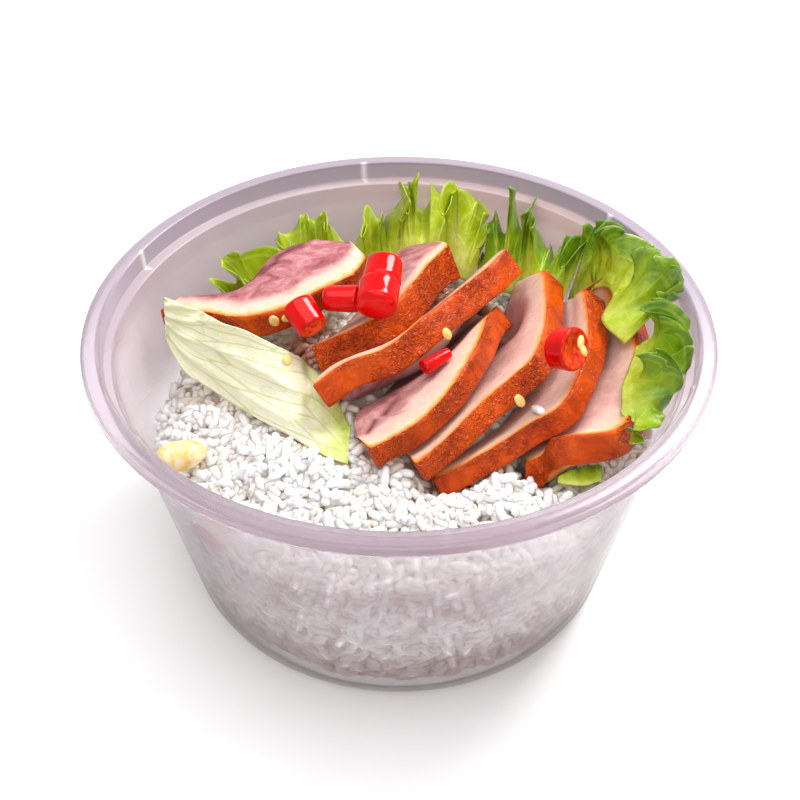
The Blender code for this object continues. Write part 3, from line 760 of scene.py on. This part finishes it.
# %% Grow a leaf
def make_leaf(name, shape, above):
    cabbage = name == "cabbage_leaf"
    columns, rows = OTHER_GRIDS.get(name, LETTUCE_GRID)
    overrun = LEAF_OVERRUN if shape["wave"] > 1.0 else 0.0
    curl = 0.0 if cabbage else min(1.0, shape["wave"] / 1.6)
    length = line_length(shape["upper"])
    shares = [-overrun + (1 + 2 * overrun) * k / columns for k in range(columns + 1)]
    grown = [column_of_leaf(shape, u, rows, length, curl) for u in shares]
    bm = bmesh.new()
    bmesh.ops.create_grid(bm, x_segments=columns, y_segments=rows, size=0.5)
    towards_edge = bm.verts.layers.float.new("towards_edge")
    place_on_leaf = bm.verts.layers.float_vector.new("grown")
    for vert in bm.verts:
        v = vert.co.y + 0.5
        column = round((vert.co.x + 0.5) * columns)
        u = shares[column]
        point = grown[column][round(v * rows)]
        vert[place_on_leaf] = (u * length / MM, v * 24.0, 0.0)
        vert[towards_edge] = v
        if cabbage:
            spread = 0.35 + 0.9 * u
            vert[place_on_leaf] = (u * length / MM, (v - 0.2) * 24.0 / spread, 0.0)
            vert[towards_edge] = 0.15 + 0.75 * smoothstep(0.55, 1.0, u) + 0.15 * v
            fan = 1.9 * (v - 0.2) / spread + 0.6 * noise.noise(Vector((2.2 * u, 1.5 * v, 7.0)))
            pleat = 1.0 - 2.0 * abs(math.sin(math.pi * fan)) ** 0.7
            push = 1.0 * pleat * (1.1 - 0.6 * u) + 1.6 * wander(point, 13 * MM, 3.0)
            point = point + Vector((0.3, -0.9, 0.35)) * push * MM
        point.z = min(point.z, LEAF_TOP)
        point = keep_inside(point, LEAF_WALL_GAP)
        if shape["tucked"]:
            point = tuck_under(point, above, LEAF_REACH)
        else:
            point = clear_of(point, above, LEAF_CLEARANCE)
        vert.co = point
    relax(bm, 0.4)
    finished = "cabbage_leaf_curled" if cabbage else name + "_frilled"
    leaf = make_piece(finished, bm, LEAF_MATERIALS[shape["green"]])
    blade = leaf.modifiers.new("blade", "SOLIDIFY")
    blade.thickness = LEAF_THICKNESS
    blade.offset = 0.0
    return leaf


slab_tree = search_tree(slabs)
leaves = []
for node, shape in LEAVES.items():
    leaves.append(make_leaf(node, shape, slab_tree))
    settle_in(leaves[-1], node)

# %% [markdown]
# ## Cut chilli and its seeds
#
# A cut red chilli is a thick-walled tube. Each length starts as a short cone. Where a cut
# end shows, the caps are inset and pushed in, so that a wall stands round a hollow. The
# other ends are rounded by two insets. The skin is a very glossy clear red.

# %% Chilli lengths and finish
CHILLIES = {
    "chilli_1": {"at": (-4.5, 12.5, 96.0), "along": (0.15, 1.0, 0.3), "radii": (5.6, 5.0), "length": 8.0},
    "chilli_2": {"at": (-6.0, 3.2, 94.5), "along": (0.1, 1.0, 0.15), "radii": (5.8, 5.8), "length": 9.0},
    "chilli_3": {"at": (-16.5, 7.0, 90.5), "along": (1.0, -0.15, 0.1), "radii": (3.8, 4.2), "length": 9.5},
    "chilli_4": {"at": (-27.0, 3.0, 87.0), "along": (-0.5, 0.75, 0.3), "radii": (4.4, 4.8), "length": 9.5,
                 "open": True},
    "chilli_5": {"at": (46.0, -17.0, 91.0), "along": (0.8, -0.62, 0.45), "radii": (6.0, 6.4), "length": 6.5,
                 "open": True},
    "chilli_6": {"at": (10.5, -14.5, 85.0), "along": (0.75, 0.6, 0.1), "radii": (2.4, 1.6), "length": 9.0},
}
CHILLI_SIDES = 24
HOLLOW_DEPTH = 2.4 * MM


def chilli_skin():
    material, tree, shader = new_material("red_chilli")
    mottled = object_noise(tree, 160.0, detail=3.0)
    skin = ramp(tree, mottled, [(0.3, rgb(184, 0, 0)), (0.6, rgb(226, 0, 0)), (0.85, rgb(240, 6, 2))])
    inside = attribute(tree, "inside")
    flesh = ramp(tree, object_noise(tree, 700.0, detail=3.0), [
        (0.35, rgb(206, 24, 8)), (0.6, rgb(236, 84, 22)), (0.8, rgb(246, 140, 50)),
    ])
    feed(tree, shader, {
        "Base Color": mix_colour(tree, inside, skin, flesh), "Roughness": 0.10, "Specular IOR Level": 0.28,
        "Subsurface Weight": 0.1, "Subsurface Radius": (1.0, 0.15, 0.08), "Subsurface Scale": 0.001,
    })
    add_bump(tree, shader, mottled, 0.12, 0.0008)
    return material


# %% Two kinds of chilli end
def hollow_out(bm, cap, wall, inside):
    """A cut end: a wall left standing round a sunken, seed-coloured middle."""
    inward = -cap.normal
    bmesh.ops.inset_region(bm, faces=[cap], thickness=wall)
    for vert in cap.verts:
        vert[inside] = 1.0
    sunk = bmesh.ops.extrude_face_region(bm, geom=[cap])["geom"]
    moved = [item for item in sunk if isinstance(item, bmesh.types.BMVert)]
    bmesh.ops.translate(bm, verts=moved, vec=inward * HOLLOW_DEPTH)
    middle = sum((vert.co for vert in moved), Vector()) / len(moved)
    bmesh.ops.scale(bm, vec=(0.75, 0.75, 0.75), verts=moved, space=Matrix.Translation(-middle))
    bmesh.ops.delete(bm, geom=[cap], context="FACES_ONLY")


def round_over(bm, cap, depth):
    """An end that bulges a little, its rim rounded in two insets."""
    outward = cap.normal.copy()
    for share in (0.45, 0.8):
        bmesh.ops.inset_region(bm, faces=[cap], thickness=0.4 * depth)
        bmesh.ops.translate(bm, verts=cap.verts, vec=outward * depth * share * 0.35)


# %% Cut lengths of chilli
def make_chilli(name, shape, material):
    back, front = shape["radii"]
    bm = bmesh.new()
    bmesh.ops.create_cone(
        bm, cap_ends=True, segments=CHILLI_SIDES, radius1=back * MM, radius2=front * MM,
        depth=shape["length"] * MM,
    )
    inside = bm.verts.layers.float.new("inside")
    long_edges = [edge for edge in bm.edges if all(len(face.verts) == 4 for face in edge.link_faces)]
    bmesh.ops.subdivide_edges(bm, edges=long_edges, cuts=5, use_grid_fill=True)
    for vert in bm.verts:
        around = math.atan2(vert.co.y, vert.co.x)
        swell = 1.0 + 0.05 * math.sin(2 * around + len(name)) + 0.04 * wander(vert.co, 5 * MM, back)
        vert.co.x *= swell
        vert.co.y *= swell
    for cap in [face for face in bm.faces if len(face.verts) > 4]:
        if shape.get("open"):
            hollow_out(bm, cap, 0.24 * min(back, front) * MM, inside)
        else:
            round_over(bm, cap, 0.5 * min(back, front) * MM)
    bmesh.ops.recalc_face_normals(bm, faces=bm.faces)
    turn = Vector(shape["along"]).to_track_quat("Z", "Y").to_matrix().to_4x4()
    bmesh.ops.transform(bm, matrix=Matrix.Translation(Vector(shape["at"]) * MM) @ turn, verts=bm.verts)
    chilli = make_piece(name + "_cut", bm, material)
    add_subdivision(chilli)
    return chilli


red = chilli_skin()
chillies = []
for node, shape in CHILLIES.items():
    chillies.append(make_chilli(node, shape, red))
    settle_in(chillies[-1], node)

# %% [markdown]
# ## Seeds
#
# Chilli seeds are flat cream discs. Each one lies on the slice that its solid was fused to,
# so the nearest point of that slab and its normal place it. Three loose ones lie in the
# ring and on the open length of chilli. A drop of oil on the cabbage leaf is laid as they are.

# %% Seed finish and spots
SEEDS = {
    "meat_slice_1": [(-36.0, 5.0, 82.0), (-31.5, 6.5, 82.0)],
    "meat_slice_3": [(13.5, -4.5, 86.5)],
    "meat_slice_5": [(34.0, -25.0, 79.0)],
}
SEED_SIZE = Vector((3.0, 4.2, 1.4)) * MM
LOOSE_SEEDS = (((49.4, -19.2, 95.2), 1.0), ((50.2, -20.6, 93.4), 0.9), ((-28.4, 6.5, 90.0), 0.7))
LOOSE_SEED_SIZE = Vector((2.4, 4.0, 1.3)) * MM
DROP_SPOT = (-32.0, -8.3, 80.0)
DROP_SIZE = Vector((3.4, 3.0, 0.9)) * MM
GRAIN_SPOTS = {"meat_slice_6": [(38.0, -27.0, 78.0)]}


def seed_coat():
    material, tree, shader = new_material("chilli_seed_cream")
    mottled = object_noise(tree, 900.0, detail=2.0)
    cream = ramp(tree, mottled, [(0.3, rgb(238, 190, 96)), (0.7, rgb(255, 224, 150))])
    feed(tree, shader, {"Base Color": cream, "Roughness": 0.35})
    add_bump(tree, shader, mottled, 0.2, 0.0003)
    return material


def lay_seed(bm, place, normal, size, spin):
    """Lays a flat round body on a surface: size is its width, length and thickness."""
    ball = bmesh.ops.create_uvsphere(bm, u_segments=12, v_segments=8, radius=0.5)["verts"]
    turn = normal.to_track_quat("Y", "Z").to_matrix().to_4x4()
    shape = Matrix.Diagonal(Vector((size[0], size[2], size[1], 1.0)))
    around = Matrix.Rotation(spin, 4, "Y")
    bmesh.ops.transform(bm, matrix=Matrix.Translation(place) @ turn @ around @ shape, verts=ball)


bm = bmesh.new()
for node, spots in SEEDS.items():
    tree = search_tree([slabs[list(SLICES).index(node)]])
    for index, spot in enumerate(spots):
        place, normal, _, _ = tree.find_nearest(Vector(spot) * MM)
        lay_seed(bm, place + normal * 0.4 * MM, normal, SEED_SIZE, 0.4 + index)
for at, size in LOOSE_SEEDS:
    lay_seed(bm, Vector(at) * MM, Vector((0.6, -0.5, 0.6)).normalized(), LOOSE_SEED_SIZE * size, at[0])
place, normal, _, _ = search_tree([leaves[0]]).find_nearest(Vector(DROP_SPOT) * MM)
lay_seed(bm, place + normal * 0.2 * MM, normal, DROP_SIZE, 0.3)
seeds = make_piece("chilli_seeds", bm, seed_coat())
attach(seeds, "root")

# %% [markdown]
# ## Garlic and shallot
#
# Two small lumps rest in the rice against the wall: a clove of garlic and a wedge of pink
# shallot. Each is a ball with a flat underside, pinched towards one end and a little uneven.

# %% Lumps
LUMPS = {
    "garlic_clove": ((-61.5, -30.0, 63.0), (15.0, 9.5, 8.0), 0.3, "garlic"),
    "shallot_wedge": ((-50.5, -52.5, 57.5), (12.0, 5.0, 9.0), -0.8, "shallot"),
}


def lump_material(name, stops, stretch):
    material, tree, shader = new_material(name)
    layers = object_noise(tree, 240.0, detail=3.0, stretch=stretch)
    feed(tree, shader, {
        "Base Color": ramp(tree, layers, stops), "Roughness": 0.35,
        "Subsurface Weight": 0.2, "Subsurface Scale": 0.0015,
    })
    add_bump(tree, shader, layers, 0.2, 0.0006)
    return material


LUMP_MATERIALS = {
    "garlic": lump_material(
        "garlic_ivory",
        [(0.36, rgb(228, 184, 92)), (0.48, rgb(236, 208, 142)), (0.6, rgb(240, 224, 186))], (1, 1, 1),
    ),
    "shallot": lump_material(
        "shallot_pink",
        [(0.3, rgb(190, 84, 110)), (0.5, rgb(218, 130, 150)), (0.7, rgb(242, 204, 196))], (1, 1, 3),
    ),
}
lumps = []
for node, (centre, size, yaw, slot) in LUMPS.items():
    bm = bmesh.new()
    bmesh.ops.create_icosphere(bm, subdivisions=4, radius=0.5)
    for vert in bm.verts:
        vert.co.z = max(vert.co.z, -0.32)
        vert.co.y *= 1.0 - 0.35 * vert.co.x
        vert.co *= 1.0 + 0.04 * noise.noise(vert.co * 4.0)
    bmesh.ops.scale(bm, vec=Vector(size) * MM, verts=bm.verts)
    place = Matrix.Translation(Vector(centre) * MM) @ Matrix.Rotation(yaw, 4, "Z")
    bmesh.ops.transform(bm, matrix=place, verts=bm.verts)
    lumps.append(make_piece(node + "_piece", bm, LUMP_MATERIALS[slot]))
    settle_in(lumps[-1], node)

# %% [markdown]
# ## Rice
#
# Cooked rice is thousands of grains. Only the outer ones show, so a core fills the middle
# and whole grains are laid over its top in three layers, and against the wall at uneven
# depths, each with its own turn and tilt. One low grain mesh is copied, so that the count
# stays affordable. Deep grains and the foot of the heap are darker, as less light gets
# there, and between the slices the rice is painted a meaty brown that stands in for the
# meat and the shade between them.

# %% Measures of the heap
RICE_WALL_GAP = 0.6 * MM
RICE_FLOOR = WALL + 0.5 * MM
RICE_EDGE_HEIGHT = 54.0 * MM
RICE_EDGE_RIGHT_RISE = 5.0 * MM
RICE_EDGE_FRONT_RISE = 2.0 * MM
RICE_CROWN_HEIGHT = 71.0 * MM
RICE_DOME_POWER = 2.6
RICE_CLUMPS = 2.6 * MM
CORE_DROP = 1.6 * MM
CORE_COLUMNS = 96
CORE_RINGS = 48
SIDE_RINGS = 24
FLOOR_RINGS = 6
GRAIN_LENGTH = 6.6 * MM
GRAIN_WIDTH = 2.9 * MM
MOST_GRAINS = 4150
TOP_STEP = 2.7 * MM
TOP_RADIUS = 79 * MM
LAYER_RISE = 1.25
LAYER_DEPTHS = (0.85, 0.3, 0.0)
GRAIN_CLEARANCE = 1.9 * MM
WALL_STEP = 3.3 * MM
WALL_ROW = 2.5 * MM
WALL_DEPTH = 1.6
BARE_CORNERS = ((-122.0, 12.0), (-44.0, 9.0))
BARE_HEIGHT = 6.0 * MM
TOPPING_REACH = 4.0 * MM


def rice_edge_height(angle):
    rise = RICE_EDGE_RIGHT_RISE * math.cos(angle) - RICE_EDGE_FRONT_RISE * math.sin(angle)
    return RICE_EDGE_HEIGHT + rise


def rice_dome_height(x, y):
    edge = rice_edge_height(math.atan2(y, x))
    share = min(math.hypot(x, y) / (wall_radius(edge) - RICE_WALL_GAP), 1.0)
    clumps = RICE_CLUMPS * wander(Vector((x, y, 0.0)), 13.0 * MM, 2.0) * (1.0 - share**6)
    return edge + (RICE_CROWN_HEIGHT - edge) * (1.0 - share**RICE_DOME_POWER) + clumps


# %% Rice finish
# Painted shade: spots between the slices where the rice is tinted a meaty brown.
SLICE_GAP_SHADE_SPOTS = (((-24.0, 11.0, 67.0), 15.0), ((15.0, 41.0, 67.0), 12.0), ((26.0, 27.0, 67.0), 11.0))


def slice_gap_painted_shade(tree):
    """How much painted shade, brown like the meat, lies on the rice between the slices."""
    place = object_place(tree)
    shaded_share = 0.0
    for centre, reach in SLICE_GAP_SHADE_SPOTS:
        away = add_node(tree, "VectorMath", operation="DISTANCE")
        feed(tree, away, {0: place, 1: Vector(centre) * MM})
        near = span(tree, away.outputs["Value"], 0.5 * reach * MM, reach * MM, 0.85, 0.0)
        shaded_share = maths(tree, "MAXIMUM", near, shaded_share)
    return shaded_share


def steamed_rice(name, darkest, dark, gloss):
    """White grains that turn darker the deeper they lie and towards the foot, as painted shade, and brown
    between the slices.
    """
    material, tree, shader = new_material(name)
    tone = object_noise(tree, 150.0, detail=3.0)
    fine = object_noise(tree, 900.0, detail=2.0)
    white = ramp(tree, tone, [(0.30, rgb(250, 247, 246)), (0.62, rgb(255, 255, 255))])
    below = ramp(tree, tone, [(0.30, darkest), (0.62, dark)])
    colour = mix_colour(tree, attribute(tree, "deep"), white, below)
    foot = span(tree, object_axes(tree)[2], 0.036, 0.004)
    colour = mix_colour(tree, foot, colour, rgb(176, 148, 144), "MULTIPLY")
    # Painted shade: a meaty brown laid on the rice between the slices.
    brown_gap_shade = ramp(tree, tone, [(0.30, rgb(112, 44, 16)), (0.62, rgb(172, 84, 34))])
    feed(tree, shader, {
        "Base Color": mix_colour(tree, slice_gap_painted_shade(tree), colour, brown_gap_shade), "Roughness": gloss,
        "Subsurface Weight": 0.6, "Subsurface Radius": (1.0, 0.95, 0.9), "Subsurface Scale": 0.0026,
    })
    add_bump(tree, shader, fine, 0.15, 0.0003)
    return material


rice_white = steamed_rice("steamed_rice", rgb(236, 220, 196), rgb(247, 237, 220), 0.34)
rice_shaded = steamed_rice("steamed_rice_shaded", rgb(176, 150, 142), rgb(210, 190, 180), 0.65)

# %% The core
toppings = slabs + leaves + chillies + lumps
above = search_tree(toppings)
bm = bmesh.new()
bmesh.ops.create_uvsphere(bm, u_segments=CORE_COLUMNS, v_segments=CORE_RINGS, radius=1.0)
deep = bm.verts.layers.float.new("deep")
for vert in bm.verts:
    vert[deep] = 1.0
    ring = round((math.asin(max(-1.0, min(1.0, vert.co.z))) / math.pi + 0.5) * CORE_RINGS)
    angle = math.atan2(vert.co.y, vert.co.x)
    edge = rice_edge_height(angle) - CORE_DROP
    if ring <= FLOOR_RINGS:
        reach = (BASE_RADIUS - 3.0 * MM) * ring / FLOOR_RINGS
        vert.co = (reach * math.cos(angle), reach * math.sin(angle), RICE_FLOOR + CORE_DROP)
        continue
    if ring <= SIDE_RINGS:
        share = (ring - FLOOR_RINGS) / (SIDE_RINGS - FLOOR_RINGS)
        z = RICE_FLOOR + CORE_DROP + (edge - RICE_FLOOR - CORE_DROP) * share
        reach = wall_radius(z) - RICE_WALL_GAP - CORE_DROP
        vert.co = (reach * math.cos(angle), reach * math.sin(angle), z)
        continue
    share = (CORE_RINGS - ring) / (CORE_RINGS - SIDE_RINGS)
    reach = (wall_radius(edge) - RICE_WALL_GAP - CORE_DROP) * share
    x = reach * math.cos(angle)
    y = reach * math.sin(angle)
    z = rice_dome_height(x, y) - CORE_DROP
    vert.co = tuck_under(Vector((x, y, z)), above, TOPPING_REACH)
core = make_piece("rice_core", bm, rice_shaded)
settle_in(core, "rice")

# %% Grains
draw = random.Random(11)
core_tree = search_tree([core])
swollen = search_tree(toppings)


def grain_mesh():
    """One blunt, slightly bent grain with few faces."""
    bm = bmesh.new()
    bmesh.ops.create_uvsphere(bm, u_segments=6, v_segments=5, radius=1.0)
    for vert in bm.verts:
        radius = math.hypot(vert.co.x, vert.co.y)
        if radius > 0.01:
            vert.co.x *= radius**-0.5
            vert.co.y *= radius**-0.5
        vert.co.x += 0.28 * (1.0 - vert.co.z**2)
    bmesh.ops.scale(bm, vec=(0.5 * GRAIN_WIDTH, 0.44 * GRAIN_WIDTH, 0.5 * GRAIN_LENGTH), verts=bm.verts)
    mesh = bpy.data.meshes.new("one_grain")
    bm.to_mesh(mesh)
    bm.free()
    return mesh


def add_grains(name, poses, material):
    """Copies one grain to every pose, as a single joined mesh, with its depth in the heap."""
    grain = grain_mesh()
    heap = bmesh.new()
    for pose, _ in poses:
        moved = grain.copy()
        moved.transform(pose)
        heap.from_mesh(moved)
        bpy.data.meshes.remove(moved)
    deep = heap.verts.layers.float.new("deep")
    for index, vert in enumerate(heap.verts):
        vert[deep] = poses[index // len(grain.vertices)][1]
    bpy.data.meshes.remove(grain)
    settle_in(make_piece(name, heap, material), "rice")


def grain_turn(normal, spread):
    """Lies along the ground, turned any way and tilted a little."""
    yaw = draw.uniform(0.0, math.pi)
    tilt = draw.gauss(0.0, spread)
    lie = Euler((math.pi / 2 + tilt, 0.0, yaw)).to_matrix().to_4x4()
    lean = Vector((0, 0, 1)).rotation_difference(normal).to_matrix().to_4x4()
    roll = Matrix.Rotation(draw.uniform(0.0, 2 * math.pi), 4, "Z")
    size = draw.uniform(0.84, 1.08)
    return lean @ lie @ roll @ Matrix.Diagonal((size, size, size * draw.uniform(0.9, 1.08), 1.0))


# %% Grains over the open top
top_poses = []
count = int(82 * MM / TOP_STEP)
for layer in (0, 1, 2):
    for row in range(-count, count + 1):
        for column in range(-count, count + 1):
            x = (column + 0.5 * (row % 2)) * TOP_STEP + draw.uniform(-1.3, 1.3) * MM
            y = row * TOP_STEP * 0.87 + draw.uniform(-1.3, 1.3) * MM
            if math.hypot(x, y) > TOP_RADIUS:
                continue
            ground, normal, _, _ = core_tree.ray_cast(Vector((x, y, 0.2)), Vector((0, 0, -1)))
            if ground is None or (layer == 2 and draw.random() < 0.6):
                continue
            if layer == 2 and wander(ground, 12 * MM, 4.0) < 0.0:
                continue
            centre = ground + normal * (0.2 + LAYER_RISE * layer + draw.uniform(-0.4, 0.5)) * MM
            if math.hypot(centre.x, centre.y) > wall_radius(centre.z) - RICE_WALL_GAP - 1.6 * MM:
                continue
            if swollen.find_nearest(centre, GRAIN_CLEARANCE)[0] is not None:
                continue
            over = swollen.ray_cast(centre, Vector((0, 0, 1)))[0]
            if over is not None and (layer > 0 or over.z - centre.z < 3.2 * MM):
                continue
            top_poses.append((Matrix.Translation(centre) @ grain_turn(normal, 0.4), LAYER_DEPTHS[layer]))
for node, spots in GRAIN_SPOTS.items():
    slab_top = search_tree([slabs[list(SLICES).index(node)]])
    for spot in spots:
        place, normal, _, _ = slab_top.find_nearest(Vector(spot) * MM)
        top_poses.append((Matrix.Translation(place + normal * 1.0 * MM) @ grain_turn(normal, 0.0), 0.0))
print("grains on top:", len(top_poses))
add_grains("rice_top_grains", top_poses[-MOST_GRAINS:], rice_white)

# %% Grains against the wall
side_poses = []
height = RICE_FLOOR + 2.2 * MM
row = 0
while height < RICE_EDGE_HEIGHT + 6 * MM:
    around = 2 * math.pi * wall_radius(height)
    number = int(around / WALL_STEP)
    for k in range(number):
        angle = 2 * math.pi * (k + 0.5 * (row % 2) + draw.uniform(-0.45, 0.45)) / number - math.pi
        z = height + draw.uniform(-1.2, 1.2) * MM
        if z > rice_edge_height(angle) or draw.random() < 0.03:
            continue
        out = Vector((math.cos(angle), math.sin(angle), -0.2)).normalized()
        depth = WALL_DEPTH + 1.2 * draw.random() ** 1.5
        turn = grain_turn(out, 0.09)
        low_end = z - abs((turn @ Vector((0.0, 0.0, 0.5 * GRAIN_LENGTH))).z)
        lean_in = max(0.0, WALL_FOOT_HEIGHT + 2.0 * MM - low_end) * 0.8
        reach = wall_radius(z) - depth * MM - lean_in
        centre = Vector((reach * math.cos(angle), reach * math.sin(angle), z))
        bare = max(0.0, *(1.0 - abs(math.degrees(angle) - at) / wide for at, wide in BARE_CORNERS))
        if low_end > RICE_FLOOR + 1.0 * MM + BARE_HEIGHT * bare:
            side_poses.append((Matrix.Translation(centre) @ turn, min(1.0, (depth - WALL_DEPTH) / 0.9)))
    height += WALL_ROW
    row += 1
draw.shuffle(side_poses)
print("grains against the wall:", len(side_poses))
add_grains("rice_side_grains", side_poses[:MOST_GRAINS], rice_shaded)

# %% [markdown]
# ## Floor, light and camera
#
# The bowl stands on a plain pale floor under soft light: a lamp high at the right and back
# makes the window-like glints on the chilli, and broad ones fill from above and in front.
# The world is white, and a little brighter to the camera than to the object.

# %% Floor
bm = bmesh.new()
bmesh.ops.create_grid(bm, x_segments=1, y_segments=1, size=6.0)
floor_material, tree, shader = new_material("pale_floor")
pale = ramp(tree, object_noise(tree, 3.0), [(0.3, (0.97, 0.97, 0.97)), (0.7, (0.98, 0.98, 0.98))])
feed(tree, shader, {"Base Color": pale, "Roughness": 0.8})
floor = make_piece("floor", bm, floor_material)

# %% World and lamps
WORLD_LIGHT = 0.60
WORLD_SEEN_EXTRA = 0.45
scene = bpy.context.scene
world = bpy.data.worlds.new("studio")
scene.world = world
world.use_nodes = True
tree = world.node_tree
seen = add_node(tree, "LightPath").outputs["Is Camera Ray"]
strength = maths(tree, "MULTIPLY_ADD", seen, WORLD_SEEN_EXTRA, WORLD_LIGHT)
feed(tree, tree.nodes["Background"], {"Color": (1.0, 1.0, 1.0), "Strength": strength})


def add_lamp(name, place, target, size, power):
    lamp = bpy.data.lights.new(name, "AREA")
    lamp.shape = "RECTANGLE"
    lamp.size, lamp.size_y = size
    lamp.energy = power
    holder = bpy.data.objects.new(name, lamp)
    holder.location = place
    aim = Vector(target) - Vector(place)
    holder.rotation_euler = aim.to_track_quat("-Z", "Y").to_euler()
    scene.collection.objects.link(holder)


add_lamp("softbox_back_right", (0.42, 0.42, 0.75), (0, 0, 0.07), (0.30, 0.42), 8.5)
add_lamp("softbox_top", (-0.15, 0.0, 1.1), (0, 0, 0.07), (1.0, 1.0), 6.0)
add_lamp("softbox_front", (0.1, -0.9, 0.8), (0, 0, 0.04), (0.8, 0.5), 3.5)

# %% Camera
CAMERA_DISTANCE = 0.375
CAMERA_HEIGHT_ANGLE = math.radians(37.13)
CAMERA_PITCH = math.radians(40.86)
FRAME_PIXELS = 800.0
FOCAL_PIXELS = 1311.0
camera_data = bpy.data.cameras.new("camera")
camera_data.sensor_width = 36.0
camera_data.lens = FOCAL_PIXELS * camera_data.sensor_width / FRAME_PIXELS
camera_data.shift_x = 1.0 / FRAME_PIXELS
camera_data.clip_start = 0.01
camera = bpy.data.objects.new("camera", camera_data)
camera.location = (
    0.0,
    -CAMERA_DISTANCE * math.cos(CAMERA_HEIGHT_ANGLE),
    RIM_HEIGHT + CAMERA_DISTANCE * math.sin(CAMERA_HEIGHT_ANGLE),
)
camera.rotation_euler = (math.pi / 2 - CAMERA_PITCH, 0.0, 0.0)
scene.collection.objects.link(camera)
scene.camera = camera
scene.view_settings.view_transform = "Standard"
